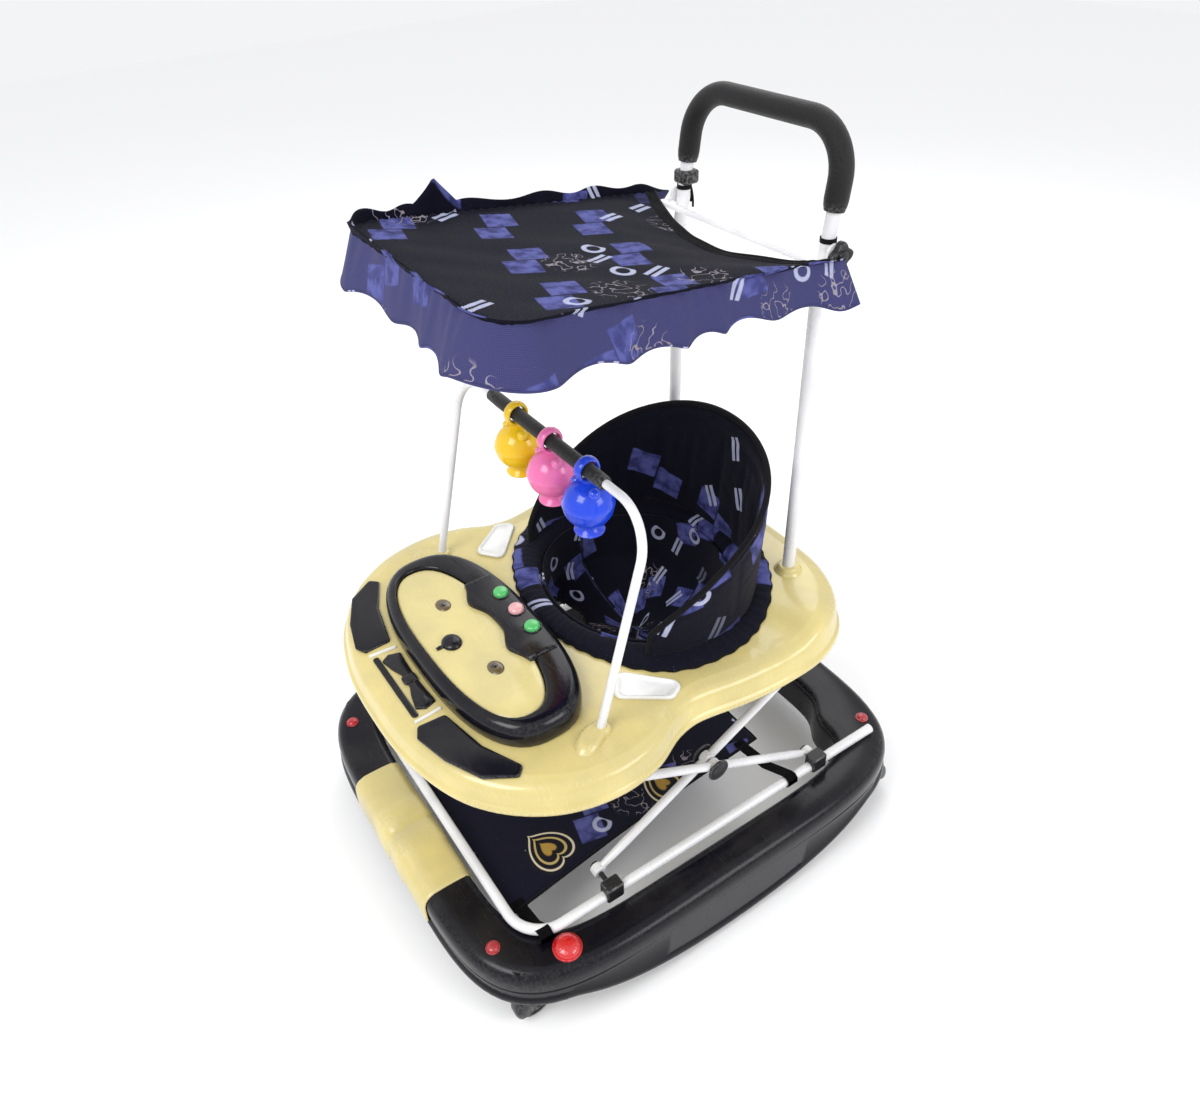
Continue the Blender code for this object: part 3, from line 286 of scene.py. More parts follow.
def shown(name, bm, material, body, stands_for=(), sharp=38):
    """Places a finished mesh: its material, its body and the CAD nodes that it stands for."""
    bmesh.ops.recalc_face_normals(bm, faces=bm.faces)
    mesh = bpy.data.meshes.new(name)
    bm.to_mesh(mesh)
    bm.free()
    mesh.materials.append(material)
    mesh.shade_smooth()
    mesh.set_sharp_from_angle(angle=math.radians(sharp))
    obj = bpy.data.objects.new(name, mesh)
    bpy.context.scene.collection.objects.link(obj)
    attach(obj, body)
    if stands_for:
        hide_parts(*stands_for)
    return obj


def ring_outer(angle):
    """Distance from the middle to the base's outer rim."""
    half_y = BASE_HIGH.y if math.sin(angle) > 0 else -BASE_LOW.y
    return superellipse(BASE_HIGH.x, half_y, BASE_OUTER_POWER, angle)


def ring_inner(angle):
    """Distance from the middle to the inner rim, drawn in at a lobe beside each rear corner."""
    r = superellipse(BASE_INNER_X, BASE_INNER_Y, BASE_INNER_POWER, angle)
    for lobe in (LOBE_ANGLE, 180 - LOBE_ANGLE):
        r -= LOBE_DEPTH * math.exp(-((math.degrees(angle) - lobe) / LOBE_SPREAD) ** 2)
    return r


def rocker_edge(y):
    """Height of the lower edge, a shallow arc along each side."""
    reach = min(abs(y) / ROCKER_REACH, 1.0)
    return BASE_LOW.z + (BASE_RIM_LOW - BASE_LOW.z) * reach ** ROCKER_CURVE


def base_section(outer, inner, low):
    """The base's wall, from the outer rim over the top to the inner rim and back inside."""
    top = BASE_TOP
    rim = [(0.0, low), (0.0022, low + 0.0015), (0.0028, low + 0.005), (0.0020, low + 0.0085),
           (-0.0006, low + 0.0115)]
    groove = [(-0.0006, top - 0.0350), (-0.0024, top - 0.0335), (-0.0026, top - 0.0310),
              (0.0006, top - 0.0290)]
    shoulder = [(0.0006, top - 0.0175), (-0.0010, top - 0.0105), (-0.0046, top - 0.0048),
                (-0.0102, top - 0.0013), (-0.0175, top)]
    inside = [(0.0140, top), (0.0066, top - 0.0012), (0.0020, top - 0.0046), (0.0, top - 0.0115),
              (0.0, low + 0.006), (0.0, low)]
    under = [(inner + BASE_WALL, low), (inner + BASE_WALL, top - 0.013), (inner + 0.012, top - BASE_WALL),
             (outer - 0.016, top - BASE_WALL), (outer - BASE_WALL - 0.002, top - 0.018),
             (outer - BASE_WALL, low)]
    middle = ((outer + inner) / 2, top + 0.0006)
    return ([(outer + r, z) for r, z in rim + groove + shoulder] + [middle]
            + [(inner + r, z) for r, z in inside] + under)


def turned(centre, axis, profile, sides=32):
    """A turned body: profile lists (distance along the axis, radius)."""
    centre, axis = Vector(centre), Vector(axis).normalized()
    across = axis.orthogonal().normalized()
    up = axis.cross(across)
    rings = []
    for s, r in profile:
        rings.append([centre + axis * s + r * (math.cos(math.tau * i / sides) * across
                                               + math.sin(math.tau * i / sides) * up) for i in range(sides)])
    return skin(rings)


def rocker_base():
    rings = []
    for i in range(BASE_STATIONS):
        angle = math.tau * i / BASE_STATIONS
        outer, inner = ring_outer(angle), ring_inner(angle)
        section = base_section(outer, inner, rocker_edge(outer * math.sin(angle)))
        rings.append([(r * math.cos(angle), r * math.sin(angle), z) for r, z in section])
    sockets = [turned((x, y, 0), (0, 0, 1), ((BASE_RIM_LOW, 0.0065), (BASE_RIM_LOW, 0.012),
                                             (BASE_TOP - 0.002, 0.0135)), 24)
               for x, y in CASTER_PLACES.values()]
    black = moulded("rocker_black", BLACK, gloss=0.15, grain=0.25, wear=0.14, dust=0.015,
                    relief=0.00035, coat=0.05, shine=0.22)
    shown("rocker_base", joined(skin(rings, closed=True), *sockets), black, "base",
          ["base_ring"])


rocker_base()


# ---------------------------------------------------------------- front saddle and base lamps
# A cream cover is sprung over the front beam, with a moulded step across its middle. Four small red
# studs fill the corners' screw holes and two round reflectors sit behind the front corners.

SADDLE_LOW, SADDLE_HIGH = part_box("front_panel")
SADDLE_SKIN = 0.0026
CREAM = (0.66, 0.55, 0.215)
RED = (0.62, 0.008, 0.014)


def saddle_section(lift):
    """The saddle's outer face and its inner one, over the base's own section."""
    front, rear = SADDLE_LOW.y, SADDLE_HIGH.y
    face = [(front, SADDLE_LOW.z), (front - 0.0004, 0.082), (front, 0.100), (front + 0.0022, 0.1080),
            (front + 0.0070, 0.1140), (front + 0.0160, 0.1182), (front + 0.0280, 0.1190),
            (rear - 0.0280, 0.1190), (rear - 0.0140, 0.1182), (rear - 0.0055, 0.1140),
            (rear - 0.0012, 0.1070), (rear, 0.098), (rear, 0.084)]
    middle = Vector(((front + rear) / 2, 0.070))
    outer, inner = [], []
    for y, z in face:
        away = (Vector((y, z)) - middle).normalized()
        outer.append((y + away.x * lift, z + away.y * lift))
        inner.append((y - away.x * SADDLE_SKIN, z - away.y * SADDLE_SKIN))
    return outer + inner[::-1]


def front_saddle():
    half = SADDLE_HIGH.x
    steps = ((-half, -0.0016), (-half + 0.0012, -0.0004), (-half + 0.004, 0.0), (-0.046, 0.0),
             (-0.0435, 0.0012), (-0.006, 0.0012), (-0.0035, -0.0006), (0.0035, -0.0006), (0.006, 0.0012),
             (0.0435, 0.0012), (0.046, 0.0), (half - 0.004, 0.0), (half - 0.0012, -0.0004),
             (half, -0.0016))
    rings = [[(x, y, z) for y, z in saddle_section(lift)] for x, lift in steps]
    cream = moulded("saddle_cream", CREAM, gloss=0.26, grain=0.35, wear=0.35, dust=0.05, coat=0.25)
    shown("front_saddle", skin(rings), cream, "base", ["front_panel"], sharp=50)


def lens_glass():
    """Clear red plastic over small prisms."""
    material = moulded("reflector_red", RED, gloss=0.08, grain=0.2, wear=0.2, dust=0.03, coat=0.8)
    tree = material.node_tree
    shader = tree.nodes["Principled BSDF"]
    place = put(tree, "ShaderNodeTexCoord").outputs["Object"]
    prisms = put(tree, "ShaderNodeTexVoronoi", {"Vector": place, "Scale": 330.0},
                 feature="F1").outputs["Distance"]
    relief = put(tree, "ShaderNodeBump", {"Height": prisms, "Distance": 0.0008, "Strength": 0.7})
    tree.links.new(relief.outputs[0], shader.inputs["Normal"])
    shader.inputs["Subsurface Weight"].default_value = 0.08
    return material


def base_lamps():
    lens = lens_glass()
    stud_red = moulded("stud_red", (0.42, 0.006, 0.016), gloss=0.16, wear=0.3, dust=0.05, coat=0.4)
    for word in ("front_right", "front_left", "rear_right", "rear_left"):
        low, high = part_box("stud_" + word)
        x, y, r, h = (low.x + high.x) / 2, (low.y + high.y) / 2, (high.x - low.x) / 2, high.z - low.z
        profile = ((0, r), (h * 0.25, r), (h * 0.36, r * 0.96), (h * 0.36, r * 0.84), (h * 0.62, r * 0.76),
                   (h * 0.84, r * 0.56), (h * 0.97, r * 0.28), (h, r * 0.06))
        shown("corner_stud_" + word, turned((x, y, low.z), (0, 0, 1), profile), stud_red, "base",
              ["stud_" + word])
    for word in ("right", "left"):
        low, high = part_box("reflector_" + word)
        x, y, r, h = (low.x + high.x) / 2, (low.y + high.y) / 2, (high.x - low.x) / 2, high.z - low.z
        profile = ((0, r), (h * 0.22, r), (h * 0.28, r * 0.97), (h * 0.28, r * 0.90), (h * 0.50, r * 0.86),
                   (h * 0.74, r * 0.70), (h * 0.92, r * 0.44), (h, r * 0.12))
        shown("round_reflector_" + word, turned((x, y, low.z), (0, 0, 1), profile, 48), lens, "base",
              ["reflector_" + word])


front_saddle()
base_lamps()


# ---------------------------------------------------------------- casters
# Each caster is a black hood moulded round its wheel, with a steel stem that clicks into the base's
# socket. The wheel is hard black plastic with a ribbed tread and a plain hub.

WHEEL_RADIUS = 0.024
WHEEL_WIDTH = 0.017
CASTER_TRAIL = 0.010
HOOD_GAP = 0.0012
HOOD_WALL = 0.0030
HOOD_TOP = 0.0525
HOOD_STEPS = 28
HOOD_START = -16
HOOD_SWEEP = 212
TREAD_RIBS = 40
TREAD_DEPTH = 0.0004
TREAD_HALF = 0.0040


def hood_mesh(x, y):
    """A fender bent round the wheel's upper part, with a cheek on each side."""
    inside, outside = WHEEL_WIDTH / 2 + HOOD_GAP, WHEEL_WIDTH / 2 + HOOD_GAP + HOOD_WALL
    roof = HOOD_TOP - WHEEL_RADIUS
    half = [(outside, 0.004), (outside, roof - 0.010), (outside - 0.0008, roof - 0.0045),
            (outside - 0.0034, roof - 0.0012), (outside - 0.007, roof)]
    inner = [(inside - 0.0010, roof - 0.0028), (inside, roof - 0.0050), (inside, 0.004)]
    section = half + [(-s, r) for s, r in half[::-1]] + [(-s, r) for s, r in inner[::-1]] + inner
    rings = []
    for i in range(HOOD_STEPS + 1):
        angle = math.radians(HOOD_START + HOOD_SWEEP * i / HOOD_STEPS)
        rolled = 0.0015 * max(0.0, abs(i - HOOD_STEPS / 2) - 12) / 2
        rings.append([(x + s, y + (r - rolled) * math.cos(angle),
                       WHEEL_RADIUS + (r - rolled) * math.sin(angle)) for s, r in section])
    return skin(rings)


def wheel_mesh(x, y):
    """The wheel with its hub's step on each side and a shallow rib at every second station."""
    half = WHEEL_WIDTH / 2
    profile = [(-half, 0.0036), (-half, 0.0070), (-half + 0.0016, 0.0078), (-half + 0.0016, 0.0160),
               (-half, 0.0168), (-half + 0.0010, WHEEL_RADIUS - 0.0026),
               (-half + 0.0032, WHEEL_RADIUS - 0.0008)]
    rings = []
    for i in range(TREAD_RIBS * 2):
        angle = math.tau * i / (TREAD_RIBS * 2) - math.pi / 2
        tread = WHEEL_RADIUS - (TREAD_DEPTH if i % 2 else 0.0)
        section = profile + [(-TREAD_HALF, tread), (TREAD_HALF, tread)] + [(-s, r) for s, r in profile[::-1]]
        rings.append([(x + s, y + r * math.cos(angle), WHEEL_RADIUS + r * math.sin(angle))
                      for s, r in section])
    return skin(rings, closed=True)


def casters():
    hood_black = moulded("caster_black", BLACK, gloss=0.16, grain=0.3, wear=0.25, dust=0.04, shine=0.4)
    wheel_black = moulded("wheel_black", (0.009, 0.009, 0.011), gloss=0.42, grain=0.5, wear=0.20, dust=0.06,
                          shine=0.35)
    for word, (x, y) in CASTER_PLACES.items():
        axle_y = y + CASTER_TRAIL
        reach = WHEEL_WIDTH / 2 + HOOD_GAP + HOOD_WALL
        axle = turned((x - reach - 0.0006, axle_y, WHEEL_RADIUS), (1, 0, 0),
                      ((0, 0.0022), (0.0006, 0.0034), (2 * reach + 0.0006, 0.0034),
                       (2 * reach + 0.0012, 0.0022)), 20)
        neck = turned((x, y, 0), (0, 0, 1), ((HOOD_TOP - 0.012, 0.0095), (HOOD_TOP - 0.003, 0.0110),
                                             (BASE_RIM_LOW - 0.0012, 0.0100), (BASE_RIM_LOW - 0.0008, 0.0055),
                                             (BASE_RIM_LOW + 0.018, 0.0052)), 24)
        shown("caster_shell_" + word, joined(hood_mesh(x, axle_y), axle, neck), hood_black, "swivel_" + word,
              ["caster_hood_" + word])
        shown("caster_tyre_" + word, wheel_mesh(x, axle_y), wheel_black, "wheel_" + word,
              ["caster_wheel_" + word])


casters()


# ---------------------------------------------------------------- base tube and scissor frame
# White powder-coated steel tube. The U on the base carries two crossed legs on each side; each leg ends
# in flat eyes, the rear ones pinned and the front ones in black nylon shoes that slide on the tubes.

TUBE_X = 0.250
TUBE_RADIUS = 0.007
REAR_PIVOT_Y = 0.199
FRONT_PIVOT_Y = -0.159
LOW_PIVOT_Z = 0.130
HIGH_PIVOT_Z = 0.320
MID_PIVOT = ((REAR_PIVOT_Y + FRONT_PIVOT_Y) / 2, (LOW_PIVOT_Z + HIGH_PIVOT_Z) / 2)
OUTER_LEG_X = 0.2335
INNER_LEG_X = 0.2175
LEG_RADIUS = 0.006
EYE_RADIUS = 0.009
MID_EYE_RADIUS = 0.0095
EYE_HALF = 0.0062
EYE_EDGE = 0.0012
HUB_GAP = 0.0069
HUB_PIN = 0.0035
WHITE = (0.80, 0.80, 0.82)
SIDES = {"right": -1, "left": 1}


def rounded_path(corners, radius, steps=8):
    """A path through corners, each inner corner rounded by an arc of the given radius."""
    corners = [Vector(corner) for corner in corners]
    path = [corners[0]]
    for before, corner, after in zip(corners, corners[1:], corners[2:]):
        to_before = (before - corner).normalized()
        to_after = (after - corner).normalized()
        half = to_before.angle(to_after) / 2
        if math.pi / 2 - half < math.radians(2):
            path.append(corner)
            continue
        centre = corner + (to_before + to_after).normalized() * (radius / math.sin(half))
        first = corner + to_before * (radius / math.tan(half)) - centre
        last = corner + to_after * (radius / math.tan(half)) - centre
        turn = first.angle(last)
        for i in range(steps + 1):
            t = i / steps
            reach = (math.sin((1 - t) * turn) * first + math.sin(t * turn) * last) / math.sin(turn)
            path.append(centre + reach)
    path.append(corners[-1])
    return path


def sweep(path, radii, sides=24):
    """Circles along a path, each square to it, without twist; radii is one number or one for each point."""
    path = [Vector(point) for point in path]
    if isinstance(radii, (int, float)):
        radii = [radii] * len(path)
    rings = []
    across = None
    for i, (point, radius) in enumerate(zip(path, radii)):
        behind, ahead = path[max(i - 1, 0)], path[min(i + 1, len(path) - 1)]
        along = (ahead - behind).normalized()
        if across is None:
            across = along.orthogonal().normalized()
        across = (across - along * across.dot(along)).normalized()
        up = along.cross(across)
        rings.append([point + radius * (math.cos(math.tau * k / sides) * across
                                        + math.sin(math.tau * k / sides) * up) for k in range(sides)])
    return rings


def capped_tube(path, radius, sides=24, cap=0.0012):
    """A tube whose two ends are plugged by low domes."""
    path = [Vector(point) for point in path]
    first, last = (path[1] - path[0]).normalized() * cap, (path[-2] - path[-1]).normalized() * cap
    path = ([path[0], path[0] + first * 0.3, path[0] + first] + path[1:-1]
            + [path[-1] + last, path[-1] + last * 0.3, path[-1]])
    radii = [radius * 0.55, radius * 0.88] + [radius] * (len(path) - 4) + [radius * 0.88, radius * 0.55]
    return skin(sweep(path, radii, sides))


def eye(x, y, z, radius, half):
    """A flat eye with rounded rims, across a leg's end."""
    profile = ((-half, radius - EYE_EDGE), (-half + EYE_EDGE, radius), (half - EYE_EDGE, radius),
               (half, radius - EYE_EDGE))
    return turned((x, y, z), (1, 0, 0), profile, 32)


def leg(x, low, high):
    """A leg from its low eye to its high one, pressed a little narrower beside the eyes."""
    start, end = Vector((x, *low)), Vector((x, *high))
    shares = (0.0, 0.035, 0.07, 0.11, 0.5, 0.89, 0.93, 0.965, 1.0)
    radii = [LEG_RADIUS * k for k in (0.80, 0.82, 0.92, 1.0, 1.0, 1.0, 0.92, 0.82, 0.80)]
    bar = skin(sweep([start.lerp(end, share) for share in shares], radii, 20))
    return joined(bar, eye(x, *low, EYE_RADIUS, EYE_HALF), eye(x, *MID_PIVOT, MID_EYE_RADIUS, EYE_HALF),
                  eye(x, *high, EYE_RADIUS, EYE_HALF))


def scissor_frame():
    white = moulded("tube_white", WHITE, gloss=0.20, grain=0.2, wear=0.5, dust=0.10, relief=0.0003, coat=0.3)
    low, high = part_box("base_tube")
    front, rear, z = low.y + TUBE_RADIUS, high.y, (low.z + high.z) / 2
    path = rounded_path(((-TUBE_X, rear, z), (-TUBE_X, front, z), (TUBE_X, front, z), (TUBE_X, rear, z)),
                        0.05, 14)
    shown("base_u_tube", capped_tube(path, TUBE_RADIUS), white, "base", ["base_tube"])
    for word, side in SIDES.items():
        outer = leg(side * OUTER_LEG_X, (REAR_PIVOT_Y, LOW_PIVOT_Z), (FRONT_PIVOT_Y, HIGH_PIVOT_Z))
        shown("outer_scissor_leg_" + word, outer, white, "outer_legs", ["outer_leg_" + word])
        inner = leg(side * INNER_LEG_X, (FRONT_PIVOT_Y, LOW_PIVOT_Z), (REAR_PIVOT_Y, HIGH_PIVOT_Z))
        shown("inner_scissor_leg_" + word, inner, white, "inner_legs", ["inner_leg_" + word])
    return white


def pivot_hub(side):
    """Two domed black heads on one pin, with a ring groove round each."""
    outer = OUTER_LEG_X + HUB_GAP
    inner = INNER_LEG_X - HUB_GAP
    head = ((0.0, 0.0150), (0.0010, 0.0160), (0.0026, 0.0157), (0.0030, 0.0122), (0.0036, 0.0118),
            (0.0044, 0.0100), (0.0048, 0.0060))
    profile = [(inner - s, r) for s, r in head[::-1]] + [(inner, HUB_PIN), (outer, HUB_PIN)]
    profile += [(outer + s, r) for s, r in head]
    return turned((0, *MID_PIVOT), (side, 0, 0), profile, 36)


def soften(node, material, width=0.0012):
    """Rounds the edges of a CAD piece whose shape is right, and gives it its finish."""
    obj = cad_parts[node]
    obj.data.materials.clear()
    obj.data.materials.append(material)
    weld = obj.modifiers.new("weld", "WELD")
    weld.merge_threshold = 0.00002
    bevel = obj.modifiers.new("bevel", "BEVEL")
    bevel.width = width
    bevel.segments = 3
    bevel.limit_method = "ANGLE"
    bevel.angle_limit = math.radians(40)
    bevel.use_clamp_overlap = True


def scissor_fittings(nylon):
    for word, side in SIDES.items():
        shown("hub_pair_" + word, pivot_hub(side), nylon, "inner_legs",
              ["pivot_hub_" + word])
        for node in ("rear_bracket_", "lower_shoe_", "upper_shoe_"):
            soften(node + word, nylon)


TUBE_WHITE = scissor_frame()
NYLON = moulded("nylon_black", (0.007, 0.007, 0.010), gloss=0.30, grain=0.7, wear=0.25, dust=0.04, shine=0.35)
scissor_fittings(NYLON)


# ---------------------------------------------------------------- foot mat
# A dark printed cloth laced across the base under the child's feet. It is bound in black tape and held
# to the tube by four webbing straps; it hangs a little lower in the middle.

MAT_LOW, MAT_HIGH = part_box("foot_mat")
MAT_REAR_HALF = 0.152
MAT_DRAWN_IN = 0.006
MAT_SAG = 0.004
MAT_RIPPLE = 0.0012
MAT_CLOTH = 0.0022
BINDING_RADIUS = 0.0022
STRAP_HALF = 0.009
STRAP_THICKNESS = 0.0012
STRAP_SHARES = (0.03, 0.94)
HEARTS = ((0.128, -0.188), (0.132, 0.006))
HEART_SIZE = 0.021
HEART_TURN = 68
NAVY = (0.004, 0.004, 0.016, 1.0)
VIOLET = (0.045, 0.050, 0.190, 1.0)
LILAC = (0.34, 0.36, 0.56, 1.0)
PALE = (0.62, 0.66, 0.84, 1.0)
TAN = (0.36, 0.26, 0.16, 1.0)
HEART_FIELD = (0.006, 0.006, 0.012, 1.0)
HEART_LINE = (0.66, 0.58, 0.44, 1.0)
HEART_RIM = (0.50, 0.38, 0.14, 1.0)
HEART_GOLD = (0.42, 0.26, 0.05, 1.0)


def cells(tree, place, size, turn, shift):
    """A turned grid over the cloth: every cell's own random number, and where a point is in its cell."""
    grid = put(tree, "ShaderNodeMapping", {"Vector": place, "Location": (*shift, 0.0),
                                           "Rotation": (0.0, 0.0, math.radians(turn)),
                                           "Scale": (1 / size, 1 / size, 1.0)}).outputs[0]
    cell = put(tree, "ShaderNodeVectorMath", {0: grid}, operation="FLOOR").outputs[0]
    chance = put(tree, "ShaderNodeTexWhiteNoise", {"Vector": cell}, noise_dimensions="2D").outputs["Value"]
    within = put(tree, "ShaderNodeVectorMath", {0: grid, 1: cell}, operation="SUBTRACT").outputs[0]
    middle = put(tree, "ShaderNodeVectorMath", {0: within, 1: (0.5, 0.5, 0.0)},
                 operation="SUBTRACT").outputs[0]
    split = put(tree, "ShaderNodeSeparateXYZ", {0: middle}).outputs
    return chance, split[0], split[1]


def band(tree, value, middle, half, soft=0.02):
    """One where a value is within half of middle, easing to nothing past it."""
    away = maths(tree, "ABSOLUTE", maths(tree, "SUBTRACT", value, middle))
    return fade(tree, away, half + soft, half)


def both(tree, *masks):
    """Where every mask holds."""
    result = masks[0]
    for mask in masks[1:]:
        result = maths(tree, "MULTIPLY", result, mask)
    return result


def from_middle(tree, x, y):
    """Distance from the middle of a cell."""
    return maths(tree, "SQRT",
                 maths(tree, "ADD", maths(tree, "MULTIPLY", x, x), maths(tree, "MULTIPLY", y, y)))


def print_effect():
    """The cloth's print, in metres over the cloth: pairs of violet diamonds, pale double strokes, open
    rings and patches of fine tan line work on navy."""
    tree, given, result = effect("cloth_print", {"Place": "vector", "Ground": "colour"},
                                 {"Colour": "colour", "Ink": "value"})
    place = given["Place"]
    chance, x, y = cells(tree, place, 0.120, 14, (0.3, 0.1))
    first = both(tree, band(tree, x, -0.19, 0.160), band(tree, y, 0.06, 0.145))
    second = both(tree, band(tree, x, 0.17, 0.160), band(tree, y, -0.09, 0.145))
    diamond = both(tree, maths(tree, "MAXIMUM", first, second), fade(tree, chance, 0.30, 0.32))
    cloud = put(tree, "ShaderNodeTexNoise", {"Vector": place, "Scale": 60.0, "Detail": 2.0}).outputs["Fac"]
    violet = blend(tree, fade(tree, cloud, 0.35, 0.65), VIOLET, (0.10, 0.11, 0.34, 1.0))
    colour = blend(tree, maths(tree, "MULTIPLY", diamond, fade(tree, cloud, 0.25, 0.5, 0.55, 1.0)),
                   given["Ground"], violet)
    chance, x, y = cells(tree, place, 0.071, -24, (0.1, 0.7))
    pair = maths(tree, "MAXIMUM", band(tree, x, -0.065, 0.030), band(tree, x, 0.065, 0.030))
    stroke = both(tree, pair, band(tree, y, 0.0, 0.22), fade(tree, chance, 0.66, 0.68))
    chance, x, y = cells(tree, place, 0.083, 12, (0.55, 0.35))
    reach = from_middle(tree, x, y)
    opened = fade(tree, maths(tree, "SUBTRACT", y, x), 0.17, 0.14)
    ring = both(tree, band(tree, reach, 0.13, 0.026), opened, fade(tree, chance, 0.66, 0.68))
    pale = maths(tree, "MAXIMUM", stroke, ring)
    colour = blend(tree, maths(tree, "MULTIPLY", pale, 0.85), colour, blend(tree, cloud, LILAC, PALE))
    chance, x, y = cells(tree, place, 0.102, 3, (0.2, 0.85))
    reach = from_middle(tree, x, y)
    wander = put(tree, "ShaderNodeTexNoise", {"Vector": place, "Scale": 62.0, "Detail": 1.0}).outputs["Fac"]
    line = both(tree, band(tree, wander, 0.5, 0.010, 0.012), fade(tree, reach, 0.34, 0.26),
                fade(tree, chance, 0.60, 0.62))
    colour = blend(tree, maths(tree, "MULTIPLY", line, 0.8), colour, blend(tree, cloud, TAN, LILAC))
    tree.links.new(colour, result["Colour"])
    tree.links.new(maths(tree, "MAXIMUM", pale, line), result["Ink"])
    return tree


def weave_effect():
    """A plain weave: two crossing sets of threads with painted shade in the gaps between them, some slubs and
    a little lint.
    """
    tree, given, result = effect("plain_weave", {"Place": "vector", "Threads": "value", "Colour": "colour"},
                                 {"Colour": "colour", "Height": "value", "Roughness": "value"})
    fine = put(tree, "ShaderNodeVectorMath", {0: given["Place"], "Scale": given["Threads"]},
               operation="SCALE")
    warp = put(tree, "ShaderNodeTexWave", {"Vector": fine.outputs[0], "Scale": 1.0, "Distortion": 0.6,
                                           "Detail Scale": 0.6}, bands_direction="X").outputs["Fac"]
    weft = put(tree, "ShaderNodeTexWave", {"Vector": fine.outputs[0], "Scale": 1.0, "Distortion": 0.6,
                                           "Detail Scale": 0.6}, bands_direction="Y").outputs["Fac"]
    height = maths(tree, "MAXIMUM", warp, weft)
    slub = put(tree, "ShaderNodeTexNoise",
               {"Vector": given["Place"], "Scale": 420.0, "Detail": 2.0}).outputs["Fac"]
    lint = fade(tree, slub, 0.66, 0.76, 0.0, 0.07)
    # Painted shade: the colour is darkened towards black, by up to 35 per cent, where the weave's height is
    # low, between the threads.
    painted_thread_shade = blend(tree, fade(tree, height, 0.2, 0.9, 0.35, 0.0), given["Colour"], (0.0, 0.0, 0.0, 1.0))
    tree.links.new(blend(tree, lint, painted_thread_shade, (0.42, 0.43, 0.50, 1.0)), result["Colour"])
    tree.links.new(maths(tree, "ADD", height, maths(tree, "MULTIPLY", slub, 0.4)), result["Height"])
    tree.links.new(fade(tree, slub, 0.2, 0.8, 0.70, 0.92), result["Roughness"])
    return tree


PRINT = print_effect()
WEAVE = weave_effect()
CLOTH_MAP = "cloth"


def woven(name, ground, printed=True, threads=205.0, relief=0.0003, sheen=0.10):
    """A woven cloth, printed or plain, laid out by the piece's own cloth map in metres."""
    material = bpy.data.materials.new(name)
    material.use_nodes = True
    tree = material.node_tree
    shader = tree.nodes["Principled BSDF"]
    place = put(tree, "ShaderNodeUVMap", uv_map=CLOTH_MAP).outputs[0]
    weave = put(tree, "ShaderNodeGroup", node_tree=WEAVE)
    tree.links.new(place, weave.inputs["Place"])
    weave.inputs["Threads"].default_value = threads
    weave.inputs["Colour"].default_value = ground
    if printed:
        inked = put(tree, "ShaderNodeGroup", node_tree=PRINT)
        tree.links.new(place, inked.inputs["Place"])
        inked.inputs["Ground"].default_value = ground
        tree.links.new(inked.outputs["Colour"], weave.inputs["Colour"])
    bump = put(tree, "ShaderNodeBump",
               {"Height": weave.outputs["Height"], "Distance": relief, "Strength": 0.7})
    tree.links.new(weave.outputs["Colour"], shader.inputs["Base Color"])
    tree.links.new(weave.outputs["Roughness"], shader.inputs["Roughness"])
    tree.links.new(bump.outputs[0], shader.inputs["Normal"])
    shader.inputs["Sheen Weight"].default_value = sheen
    shader.inputs["Specular IOR Level"].default_value = 0.12
    shader.inputs["Sheen Roughness"].default_value = 0.45
    return material


def cloth_map(obj, where):
    """Writes the cloth map: where(point) gives a point's place on the flat cloth, in metres."""
    layer = obj.data.uv_layers.new(name=CLOTH_MAP)
    points = [where(vertex.co) for vertex in obj.data.vertices]
    for loop in obj.data.loops:
        layer.data[loop.index].uv = points[loop.vertex_index]


def sheet_grid(point, columns, rows):
    """An open sheet of quads; point(u, v) gives its place for shares u and v from 0 to 1."""
    bm = bmesh.new()
    grid = [[bm.verts.new(point(i / columns, j / rows)) for i in range(columns + 1)] for j in range(rows + 1)]
    for lower, upper in zip(grid, grid[1:]):
        for i in range(columns):
            bm.faces.new((lower[i], lower[i + 1], upper[i + 1], upper[i]))
    return bm


def thicken(obj, thickness):
    """Gives an open sheet its cloth's thickness, to both sides."""
    solid = obj.modifiers.new("thickness", "SOLIDIFY")
    solid.thickness = thickness
    solid.offset = 0.0


def mat_point(u, v):
    """A point of the mat: straight front and rear, sides that draw in, a shallow sag and small ripples."""
    y = MAT_LOW.y + v * (MAT_HIGH.y - MAT_LOW.y)
    half = MAT_HIGH.x + (MAT_REAR_HALF - MAT_HIGH.x) * v ** 1.1 - MAT_DRAWN_IN * math.sin(math.pi * v)
    x = half * (2 * u - 1)
    sag = MAT_SAG * math.sin(math.pi * u) * math.sin(math.pi * v)
    ripple = MAT_RIPPLE * noise.noise(Vector((x * 14, y * 9, 3.1))) * (0.3 + abs(2 * u - 1))
    return (x, y, (MAT_LOW.z + MAT_HIGH.z) / 2 - sag + ripple)


def heart_mask(tree, place, centre, size, turn):
    """How far inside a heart a point of the cloth is: above 0 inside, 0 on its outline."""
    local = put(tree, "ShaderNodeMapping",
                {"Vector": place, "Location": (-centre[0], -centre[1], 0.0)}).outputs[0]
    turned_place = put(tree, "ShaderNodeMapping",
                       {"Vector": local, "Rotation": (0.0, 0.0, math.radians(turn)),
                        "Scale": (1 / size, 1 / size, 1.0)}).outputs[0]
    split = put(tree, "ShaderNodeSeparateXYZ", {0: turned_place}).outputs
    x = maths(tree, "ABSOLUTE", split[0])
    y = maths(tree, "SUBTRACT", split[1], maths(tree, "MULTIPLY", maths(tree, "SQRT", x), 0.62))
    return maths(tree, "SUBTRACT", 1.0, from_middle(tree, x, y))


